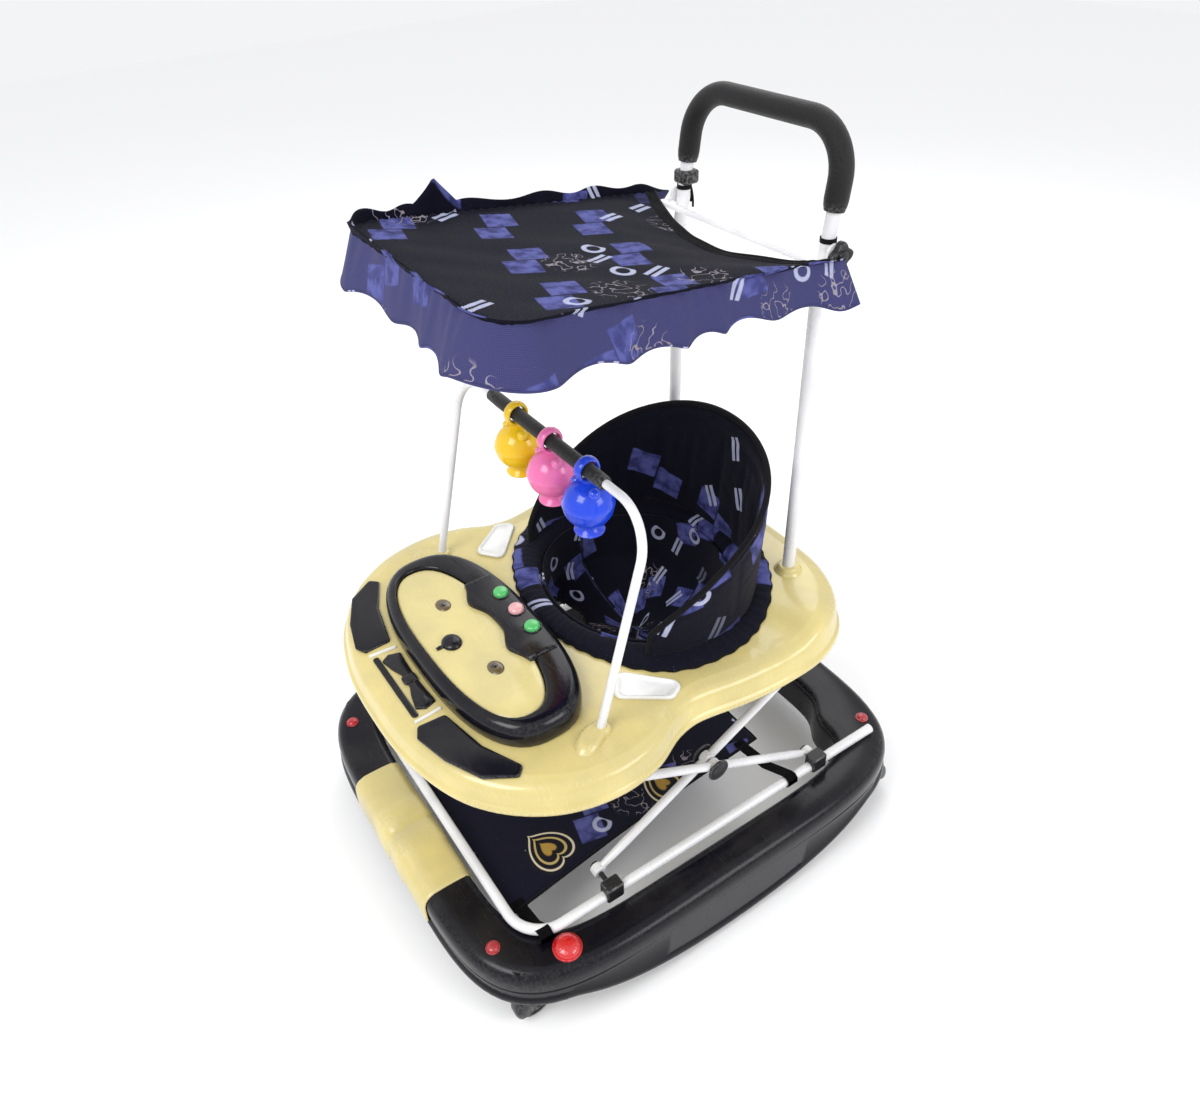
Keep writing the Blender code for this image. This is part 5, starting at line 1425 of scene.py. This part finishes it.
def seat_collar():
    """A flat stuffed ring: the gathered top and a plain underside joined at the hem."""
    columns, rows = 368, 12
    top = ring_sheet(collar_point, columns, rows)
    under = [[], []]
    for share, row in ((1.0, 0), (0.25, 1)):
        for i in range(columns):
            x, y = collar_point(i / columns, share)[:2]
            under[row].append(Vector((x, y, deck_height(x, y) + 0.0014)))
    top.verts.ensure_lookup_table()
    hem = [top.verts[rows * columns + i] for i in range(columns)]
    edge = [top.verts[i] for i in range(columns)]
    rings = [[top.verts.new(point) for point in row] for row in under]
    for first, second in ((hem, rings[0]), (rings[0], rings[1]), (rings[1], edge)):
        for i in range(columns):
            k = (i + 1) % columns
            top.faces.new((first[i], first[k], second[k], second[i]))
    collar = shown("seat_collar", top, SEAT_CLOTH, "tray", sharp=80)
    cloth_map(collar, round_map)
    hem_line = []
    for i in range(columns):
        x, y = collar_point(i / columns, 1.0)[:2]
        hem_line.append((x, y, deck_height(x, y) + 0.0030))
    cord = skin(sweep(hem_line + hem_line[:1], 0.0022, 10)[:-1], closed=True)
    piping = shown("collar_piping", cord, TAPE, "tray")
    cloth_map(piping, round_map)


def bucket_point(u, v):
    """The hanging bucket, from the bottom (v 0) up to the opening's edge (v 1), with soft hanging folds."""
    angle = math.tau * u
    widest = opening(angle) - BUCKET_INSET
    rim = OPENING_Y + widest * math.sin(angle)
    rise = SEAT_LOW + (deck_height(0.0, rim) + 0.002 - SEAT_LOW) * v ** 1.9
    share = min(1.0, 0.10 + 1.05 * math.sin(0.5 * math.pi * min(v * 1.12, 1.0)) ** 0.9)
    fold = 0.0028 * math.sin(9 * angle + 0.6) * math.sin(math.pi * v) * (0.6 + 0.4 * math.sin(3 * angle))
    r = widest * share + fold
    return (r * math.cos(angle), OPENING_Y + r * math.sin(angle), rise + 0.003)


def leg_tunnels(point):
    """For each side, the foot of a point on the leg tunnel's line, and whether it lies ahead of its start."""
    feet = []
    for side in SIDES.values():
        start, end = (Vector((side * x, y, z)) for x, y, z in LEG_HOLE_ENDS)
        along = (end - start).normalized()
        reach = (point - start).dot(along)
        feet.append((start + along * reach, reach > 0.0))
    return feet


def in_leg_hole(point):
    """How far a point is from the nearer leg tunnel's line, in leg hole radii."""
    return min((point - foot).length / LEG_HOLE_RADIUS if ahead else FAR_FROM_HOLE
               for foot, ahead in leg_tunnels(point))


def seat_bucket():
    """The bucket's cloth with its two leg holes cut out, rounded and hemmed."""
    bm = ring_sheet(bucket_point, 176, 60)
    removed = [face for face in bm.faces if in_leg_hole(face.calc_center_median()) < 1.0]
    bmesh.ops.delete(bm, geom=removed, context="FACES")
    for vertex in bm.verts:
        if any(edge.is_boundary for edge in vertex.link_edges) and in_leg_hole(vertex.co) < 1.2:
            for foot, _ in leg_tunnels(vertex.co):
                away = vertex.co - foot
                if abs(away.length / LEG_HOLE_RADIUS - 1) < 0.15:
                    vertex.co = foot + away.normalized() * LEG_HOLE_RADIUS
    loops = [edge for edge in bm.edges if edge.is_boundary and in_leg_hole(edge.verts[0].co) < 1.05
             and edge.verts[0].co.z < TRAY_DECK - 0.02]
    lines = ordered_loops(loops)
    bottom = [edge for edge in bm.edges if edge.is_boundary and edge.verts[0].co.z < SEAT_LOW + 0.0031]
    bmesh.ops.contextual_create(bm, geom=bottom)
    bucket = shown("seat_bucket", bm, SEAT_CLOTH, "tray", ["seat_sling"], sharp=80)
    cloth_map(bucket, round_map)
    thicken(bucket, BUCKET_CLOTH)
    hems = [skin(sweep(line + line[:1], 0.0030, 10)[:-1], closed=True) for line in lines if len(line) > 12]
    hem = shown("leg_hole_hems", joined(*hems), TAPE, "tray")
    cloth_map(hem, round_map)


def ordered_loops(edges):
    """Boundary edges strung into closed lines of points."""
    links = {}
    for edge in edges:
        first, second = edge.verts
        links.setdefault(first, []).append(second)
        links.setdefault(second, []).append(first)
    lines, seen = [], set()
    for start in links:
        if start in seen:
            continue
        line, here = [], start
        while here is not None and here not in seen:
            seen.add(here)
            line.append(here.co.copy())
            here = next((v for v in links[here] if v not in seen), None)
        lines.append(line)
    return lines


def back_height(turn):
    """Height of the back's top edge, falling away from the rear towards the sides."""
    return TRAY_DECK + 0.025 + BACK_RISE * max(math.cos(turn * 0.73), 0.0) ** 0.8


def back_point(turn, share, inset):
    """A point of the stuffed back: turn from the rear, share of the height, inset from its outer face."""
    angle = math.pi / 2 - turn
    r = superellipse(BACK_HALF_X, BACK_HALF_Y, BACK_POWER, angle)
    y = OPENING_Y + r * math.sin(angle)
    low = TRAY_DECK + TRAY_RISE * smoothstep(0.10, 0.22, y) + 0.0095
    high = max(back_height(turn), low + 0.02)
    lean = BACK_LEAN * (high - low) / BACK_RISE * share
    reach = r - inset
    return Vector((reach * math.cos(angle), OPENING_Y + reach * math.sin(angle) + lean,
                   low + (high - low) * share))


def back_core():
    """The back before it is stuffed: a slightly slimmer wall with rounded edges."""
    columns = 72
    rings = []
    section = ((0.0, 0.0032), (0.25, 0.0030), (0.5, 0.0030), (0.75, 0.0030), (0.96, 0.0034), (1.0, 0.0062),
               (1.0, BACK_THICKNESS - 0.0062), (0.96, BACK_THICKNESS - 0.0034),
               (0.75, BACK_THICKNESS - 0.0030), (0.5, BACK_THICKNESS - 0.0030),
               (0.25, BACK_THICKNESS - 0.0030), (0.0, BACK_THICKNESS - 0.0032))
    for i in range(columns + 1):
        turn = math.radians(BACK_SPAN) * (2 * i / columns - 1)
        rings.append([back_point(turn, share, inset) for share, inset in section])
    return skin(rings)


def stuffed(obj, pressure, reach, pins, steps=18):
    """Blows a closed mesh up as wadding does. Points near the sewn lines stay, and none moves past reach."""
    rest = [vertex.co.copy() for vertex in obj.data.vertices]
    group = obj.vertex_groups.new(name="sewn")
    for vertex in obj.data.vertices:
        group.add([vertex.index], pins(vertex.co), "REPLACE")
    cloth = obj.modifiers.new("wadding", "CLOTH")
    cloth.settings.quality = 5
    cloth.settings.mass = 0.25
    cloth.settings.tension_stiffness = 9.0
    cloth.settings.compression_stiffness = 9.0
    cloth.settings.bending_stiffness = 1.2
    cloth.settings.use_pressure = True
    cloth.settings.uniform_pressure_force = pressure
    cloth.settings.vertex_group_mass = "sewn"
    cloth.settings.effector_weights.gravity = 0.0
    cloth.point_cache.frame_start = 1
    cloth.point_cache.frame_end = steps
    scene = bpy.context.scene
    for step in range(1, steps + 1):
        scene.frame_set(step)
    shaped = obj.evaluated_get(bpy.context.evaluated_depsgraph_get()).to_mesh()
    moved = [vertex.co.copy() for vertex in shaped.vertices]
    obj.evaluated_get(bpy.context.evaluated_depsgraph_get()).to_mesh_clear()
    obj.modifiers.remove(cloth)
    scene.frame_set(1)
    for vertex, start, end in zip(obj.data.vertices, rest, moved):
        push = end - start
        vertex.co = start + push * min(1.0, reach / max(push.length, 1e-9))
    obj.data.update()


def remeshed(obj, voxel):
    """Rebuilds a mesh in even small faces."""
    remesh = obj.modifiers.new("even", "REMESH")
    remesh.mode = "VOXEL"
    remesh.voxel_size = voxel
    even = bpy.data.meshes.new_from_object(obj.evaluated_get(bpy.context.evaluated_depsgraph_get()))
    obj.modifiers.remove(remesh)
    obj.data = even
    obj.data.shade_smooth()


def turn_and_share(point):
    """Where a point of the back is: its turn from the rear and its share of the height there."""
    angle = math.atan2(point.y - OPENING_Y, point.x)
    turn = math.pi / 2 - angle
    turn = (turn + math.pi) % math.tau - math.pi
    low, high = back_point(turn, 0.0, 0.0).z, back_point(turn, 1.0, 0.0).z
    return turn, (point.z - low) / (high - low)


BACK_SEAMS = tuple(math.radians(a) for a in (-78, -39, 0, 39, 78))
TOP_SEAM = 0.84


def sewn_hold(point):
    """1 on the back's edges and seams, where the stitches hold the cloth, and 0 between them."""
    turn, share = turn_and_share(point)
    near = min(abs(turn - seam) * 0.15 for seam in BACK_SEAMS)
    channel = smoothstep(0.0075, 0.0030, near) if share < TOP_SEAM else 0.0
    rows = smoothstep(0.045, 0.015, abs(share - TOP_SEAM))
    edge = max(smoothstep(0.06, 0.0, share), smoothstep(0.97, 1.0, share))
    return max(channel, rows, edge)


def seat_back():
    """The stuffed wall, creased between its seams, and the piping over its top edge and down its ends."""
    wall = shown("stuffed_back", back_core(), SEAT_CLOTH, "tray", ["seat_back"], sharp=80)
    remeshed(wall, WADDING_VOXEL)
    stuffed(wall, WADDING_PRESSURE, WADDING_REACH, sewn_hold)
    for vertex in wall.data.vertices:
        turn, share = turn_and_share(vertex.co)
        hold = sewn_hold(vertex.co)
        outward = Vector((vertex.co.x, vertex.co.y - OPENING_Y, 0)).normalized()
        middle = back_point(turn, min(max(share, 0.0), 1.0), BACK_THICKNESS / 2)
        side = 1.0 if (vertex.co - middle).dot(outward) > 0 else -1.0
        crease = 0.0010 * noise.noise(Vector((turn * 9, share * 14, 2.0 * side)))
        vertex.co += outward * side * (crease * (1 - hold) - 0.0014 * hold * (0.2 < share < 0.97))
    wall.data.materials.clear()
    wall.data.materials.append(SEAT_CLOTH)
    fine = wall.modifiers.new("fine", "SUBSURF")
    fine.levels = fine.render_levels = 1
    cloth_map(wall, lambda point: (MAP_RADIUS * turn_and_share(point)[0], point.z))
    edge = [back_point(math.radians(BACK_SPAN) * (2 * k / 110 - 1), 1.0, BACK_THICKNESS / 2)
            + Vector((0, 0, 0.0012)) for k in range(111)]
    ends = [back_point(math.radians(-BACK_SPAN), share, BACK_THICKNESS / 2) for share in (0.02, 0.5)]
    tails = [back_point(math.radians(BACK_SPAN), share, BACK_THICKNESS / 2) for share in (0.5, 0.02)]
    piping = shown("back_piping", capped_tube(ends + edge + tails, 0.0040, 16), TAPE, "tray")
    cloth_map(piping, lambda point: (MAP_RADIUS * turn_and_share(point)[0], point.z + point.y))


seat_collar()
seat_bucket()
seat_back()


# ---------------------------------------------------------------- posts and push handle
# Two white posts rise behind the seat; the arched handle plugs into them and leans back a little. A
# thick foam grip covers the arch. A nylon ring hides each joint.

POST_TOP = 0.800
HANDLE_JOIN_Y = 0.236
HANDLE_LEAN = 0.142
HANDLE_TOP = 0.983
HANDLE_CORNER = 0.058
GRIP_RADIUS = 0.014
GRIP_LOW = 0.893


def handle_point(x, z):
    """A point in the leaning plane of the upper handle."""
    return (x, HANDLE_JOIN_Y + HANDLE_LEAN * (z - POST_TOP), z)


def handle_path(low):
    corners = [handle_point(-POST_X, low), handle_point(-POST_X, HANDLE_TOP)]
    corners += [(-x, y, z) for x, y, z in corners[::-1]]
    return rounded_path(corners, HANDLE_CORNER, 14)


def push_handle():
    foot = deck_height(POST_X, POST_FOOT_Y) + 0.004
    for word, side in SIDES.items():
        line = divided([(side * POST_X, POST_FOOT_Y, foot), (side * POST_X, HANDLE_JOIN_Y, POST_TOP)], 0.05)
        shown("back_post_" + word, skin(sweep(line, POST_RADIUS, 28)), TUBE_WHITE, "tray",
              ["post_" + word])
        joint = [(side * POST_X, HANDLE_JOIN_Y - 0.0002, POST_TOP - 0.014),
                 (side * POST_X, HANDLE_JOIN_Y, POST_TOP),
                 handle_point(side * POST_X, POST_TOP + 0.012)]
        ring = skin(sweep(divided(joint, 0.003), POST_RADIUS + 0.0016, 32))
        shown("post_joint_" + word, ring, TUBE_WHITE, "tray")
    arch = skin(sweep(divided(handle_path(POST_TOP + 0.002), 0.03), POST_RADIUS, 28))
    shown("push_arch", arch, TUBE_WHITE, "tray", ["handle_arch"])
    grip = shown("push_grip",
                 foam_sleeve(divided(handle_path(GRIP_LOW), 0.006), GRIP_RADIUS, POST_RADIUS + 0.0005),
                 FOAM, "tray", ["foam_grip"])


push_handle()


# ---------------------------------------------------------------- sun canopy
# A printed cloth stretched over a white wire frame, with a gathered valance sewn round three sides. The
# frame tilts on two hubs beside the posts; a lobed knob locks it, and short ties hold its rear corners.

CANOPY_REAR = 0.222
CANOPY_FRONT = -0.212
CANOPY_HALF = 0.160
CANOPY_FLARE = 0.017
CANOPY_CORNER = 0.042
CANOPY_SLOPE = 0.115
CANOPY_REAR_Z = 0.852
CANOPY_DIP = 0.060
WIRE_X = 0.147
WIRE_RADIUS = 0.004
VALANCE_DROP = 0.050
VALANCE_GATHER = 0.078
VALANCE_CORNER_RUN = 0.47
VALANCE_PEAK_RUN = 0.335
TIE_RADIUS = 0.0098
TIE_HALF = 0.0028
TILT_Y = 0.242958
TILT_Z = 0.849
TOP_CLOTH = woven("canopy_cloth", (0.002, 0.002, 0.010, 1.0), sheen=0.02)
VALANCE_CLOTH = woven("valance_cloth", (0.050, 0.050, 0.150, 1.0), sheen=0.08)


def canopy_z(y):
    """Height of the canopy's cloth along its length."""
    return CANOPY_REAR_Z + CANOPY_SLOPE * (CANOPY_REAR - y)


def canopy_half(y):
    """Half the cloth's width, a little more at the front than at the posts."""
    return CANOPY_HALF + CANOPY_FLARE * min(max((CANOPY_REAR - y) / (CANOPY_REAR - CANOPY_FRONT), 0.0), 1.0)


def rear_edge(x):
    """Where the cloth ends: tied back at the two posts, drawn forward between them."""
    share = min(max((x / CANOPY_HALF + 1) / 2, 0.0), 1.0)
    return CANOPY_REAR - 0.004 - CANOPY_DIP * math.sin(math.pi * share ** 1.35) ** 0.75


def canopy_point(u, v):
    """A point of the top: taut at its edges, hollow in the middle, with small pulled wrinkles."""
    x_share = 2 * u - 1
    y = CANOPY_FRONT + v * (rear_edge(x_share * CANOPY_HALF) - CANOPY_FRONT)
    into = min(y - CANOPY_FRONT, CANOPY_CORNER)
    half = canopy_half(y) - CANOPY_CORNER + math.sqrt(CANOPY_CORNER ** 2 - (CANOPY_CORNER - into) ** 2)
    x = x_share * half
    across = math.cos(x_share * math.pi / 2) ** 0.8
    hollow = across * (0.0075 * math.sin(math.pi * v) ** 0.8 + 0.014 * smoothstep(0.72, 1.0, v))
    edge = min(half - abs(x), y - CANOPY_FRONT)
    pucker = 0.0009 * math.sin(math.tau * (x + 1.3 * y) / 0.017) * math.exp(-edge / 0.014)
    wrinkle = 0.0022 * noise.noise(Vector((x * 16 + y * 7, y * 9 - x * 5, 1.7))) * min(1.0, edge / 0.03)
    pull = 0.0014 * noise.noise(Vector(((x - 0.6 * y) * 22, (x + y) * 3, 9.1))) * min(1.0, edge / 0.03)
    return (x, y, canopy_z(y) - 0.0012 - hollow + pucker + wrinkle + pull)


def valance_line():
    """The seam round the two sides and the front, with the outward direction at each of its points."""
    rear = CANOPY_REAR + 0.020
    corners = [(canopy_half(rear), rear, 0), (canopy_half(CANOPY_FRONT), CANOPY_FRONT, 0)]
    corners += [(-x, y, z) for x, y, z in corners[::-1]]
    path = divided(rounded_path(corners, CANOPY_CORNER, 20), 0.0032)
    line, run = [], 0.0
    for i, point in enumerate(path):
        run += (point - path[i - 1]).length if i else 0.0
        along = (path[min(i + 1, len(path) - 1)] - path[max(i - 1, 0)]).normalized()
        across = Vector((-along.y, along.x, 0))
        outward = across if point.x * across.x + point.y * across.y > 0 else -across
        line.append((run, point, outward))
    return line


def valance_points(line, rows, heading):
    """Rows of points: a short standing heading above the seam, then the gathered fall down to the hem."""
    length = line[-1][0]
    grid = []
    for j in range(-heading, rows + 1):
        v = j / rows
        row = []
        for run, point, outward in line:
            wander = noise.noise(Vector((run * 7.5, 0.3, 5.5)))
            phase = math.tau * run / VALANCE_GATHER + 3.4 * wander
            lobe = 0.5 + 0.5 * math.sin(phase)
            ends = smoothstep(0.055, 0.0, min(run, length - run))
            corner = max(math.exp(-((run - VALANCE_CORNER_RUN) / 0.075) ** 2),
                         0.7 * math.exp(-((length - run - VALANCE_CORNER_RUN) / 0.075) ** 2))
            if v < 0:
                peak = 0.034 * max(0.0, 1 - abs(length - run - VALANCE_PEAK_RUN) / 0.027)
                up = -v * rows / heading
                small = 0.0040 + 0.0110 * smoothstep(0.0, 1.0, 0.5 - point.x / 0.24) * (0.5 + 0.5 * lobe)
                rise = (small * (1 - ends) + peak) * up
                lean = (0.0030 + 0.0020 * math.sin(phase)) * up
                grid_point = point + outward * lean + Vector((0, 0, rise))
            else:
                drop = VALANCE_DROP * (0.90 + 0.13 * lobe * v + 0.24 * corner + 0.20 * wander)
                swing = (0.0060 * (lobe - 0.4) * v ** 0.8 + 0.012 * v * (1 + 1.1 * corner) + 0.020 * ends * v
                         + 0.0010 * math.sin(phase * 3 + 1.0) * (1 - v))
                slide = outward.cross(Vector((0, 0, 1))) * 0.0045 * math.cos(phase) * v
                grid_point = point + outward * swing + slide - Vector((0, 0, drop * v))
            y = min(max(point.y, CANOPY_FRONT), CANOPY_REAR + 0.02)
            row.append(grid_point + Vector((0, 0, canopy_z(y) - 0.0014)))
        grid.append(row)
    return grid


def canopy_wire():
    """The bent wire with a riveted hub and a flat arm at each post."""
    middle = 0.004 + WIRE_RADIUS + 0.001
    rear, front, chamfer = CANOPY_REAR - 0.008, CANOPY_FRONT + 0.018, 0.034
    wide = WIRE_X + 0.010
    half = [(0, rear), (WIRE_X, rear), (wide, front + chamfer), (wide - chamfer, front)]
    outline = half + [(-x, y) for x, y in half[::-1]]
    path = rounded_path([(x, y, canopy_z(y) - middle) for x, y in outline], 0.025, 10)
    wire = skin(sweep(divided(path, 0.02), WIRE_RADIUS, 18)[:-1], closed=True)
    parts = [wire]
    for side in SIDES.values():
        near = POST_X + POST_RADIUS + 0.001
        profile = ((near, 0.0098), (near + 0.0008, 0.011), (near + 0.0040, 0.011), (near + 0.0046, 0.0102),
                   (near + 0.0060, 0.0062), (near + 0.0070, 0.0048))
        parts.append(turned((0, TILT_Y, TILT_Z), (side, 0, 0), profile, 36))
        bend = ((TILT_Y - 0.004, TILT_Z - 0.004), (TILT_Y - 0.018, TILT_Z - 0.0065),
                (rear - 0.001, canopy_z(rear) - middle))
        arm = [(side * (near + 0.0034), y, z) for y, z in bend]
        parts.append(skin(sweep(arm, [0.0030, 0.0030, 0.0028], 14)))
    shown("canopy_wire", joined(*parts), TUBE_WHITE, "canopy", ["canopy_frame"])


def sun_canopy():
    top = shown("canopy_top", sheet_grid(canopy_point, 110, 130), TOP_CLOTH, "canopy",
                ["canopy_fabric"])
    cloth_map(top, lambda point: (point.x, point.y))
    thicken(top, 0.0018)
    columns = 80
    rear = [Vector(canopy_point(k / columns, 1.0)) for k in range(columns + 1)]
    binding_mesh = capped_tube([point + Vector((0, 0.0006, 0.0004)) for point in rear], 0.0022, 12)
    tape = [[Vector(canopy_point(k / columns, v)) + Vector((0, 0, lift)) for k in range(columns + 1)]
            for v, lift in ((1.0, 0.0014), (0.985, 0.0016), (0.965, 0.0014))]
    strip = bmesh.new()
    grid = [[strip.verts.new(point) for point in row] for row in tape]
    for lower, upper in zip(grid, grid[1:]):
        for i in range(columns):
            strip.faces.new((lower[i], upper[i], upper[i + 1], lower[i + 1]))
    bmesh.ops.solidify(strip, geom=strip.faces[:], thickness=0.0008)
    binding = shown("canopy_rear_binding", joined(binding_mesh, strip), TAPE, "canopy")
    cloth_map(binding, lambda point: (point.x, point.y + point.z))


def canopy_valance():
    """The gathered strip, its hem rolled, hanging from the seam."""
    line = valance_line()
    rows, heading = 12, 3
    grid = valance_points(line, rows, heading)
    bm = bmesh.new()
    verts = [[bm.verts.new(point) for point in row] for row in grid]
    for upper, lower in zip(verts, verts[1:]):
        for i in range(len(line) - 1):
            bm.faces.new((upper[i], lower[i], lower[i + 1], upper[i + 1]))
    valance = shown("canopy_valance", bm, VALANCE_CLOTH, "canopy")
    valance.data.materials.append(TOP_CLOTH)
    for face in valance.data.polygons[:heading * (len(line) - 1)]:
        face.material_index = 1
    layer = valance.data.uv_layers.new(name=CLOTH_MAP)
    count = len(line)
    for loop in valance.data.loops:
        row, column = divmod(loop.vertex_index, count)
        layer.data[loop.index].uv = (line[column][0] * 1.15, -(row - heading) / rows * VALANCE_DROP)
    thicken(valance, 0.0014)
    hem = shown("valance_hem", capped_tube(grid[-1], 0.0013, 8), VALANCE_CLOTH, "canopy")
    cloth_map(hem, lambda point: (point.x + point.y, point.z))


def lobed_knob():
    """A four-lobed grip with a raised cap in its middle."""
    start = POST_X + POST_RADIUS + 0.009
    rings = []
    steps = ((0.0, 0.86, 1.0), (0.0008, 0.96, 1.0), (0.0020, 1.0, 1.0), (0.0070, 1.0, 1.0),
             (0.0086, 0.97, 1.0), (0.0098, 0.88, 0.9), (0.0101, 0.70, 0.5), (0.0092, 0.56, 0.1),
             (0.0094, 0.50, 0.0), (0.0108, 0.46, 0.0), (0.0114, 0.30, 0.0))
    for reach, share, lobes in steps:
        ring = []
        for i in range(72):
            angle = math.tau * i / 72
            r = (0.0145 + 0.0025 * lobes * math.cos(4 * angle)) * share
            ring.append((start + reach, TILT_Y + r * math.cos(angle), TILT_Z + r * math.sin(angle)))
        rings.append(ring)
    shown("canopy_lock_knob", skin(rings), NYLON, "canopy_knob", ["canopy_knob"])


def corner_ties():
    """A tape loop round each post below the hub, its two cut ends hanging."""
    for word, side in SIDES.items():
        z = TILT_Z + 0.0125
        x, y = side * POST_X, HANDLE_JOIN_Y + HANDLE_LEAN * (z - POST_TOP)
        parts = []
        ring = [(x + TIE_RADIUS * math.cos(a), y + TIE_RADIUS * math.sin(a), z)
                for a in (math.tau * k / 40 for k in range(40))]
        flat = [[Vector((px, py, pz + rise)) for px, py, pz in ring] for rise in (-TIE_HALF, TIE_HALF)]
        inner = [[Vector((x + (p.x - x) * 0.91, y + (p.y - y) * 0.91, p.z)) for p in row] for row in flat]
        parts.append(skin([flat[0], flat[1], inner[1], inner[0]], closed=True, caps=False))
        for lean, drop in ((0.006, 0.030), (-0.004, 0.024)):
            tail = [(x + lean * k * 0.5, y + 0.0102 + 0.003 * math.sin(2.2 * k), z - drop * k)
                    for k in (0.0, 0.25, 0.5, 0.75, 1.0)]
            parts.append(skin(sweep(tail, 0.0015, 10)))
        tie = shown("canopy_tie_" + word, joined(*parts), TAPE, "tray", sharp=60)
        cloth_map(tie, lambda point: (point.x + point.y, point.z))


canopy_wire()
sun_canopy()
canopy_valance()
lobed_knob()
soften("canopy_clip", NYLON, 0.0008)
corner_ties()
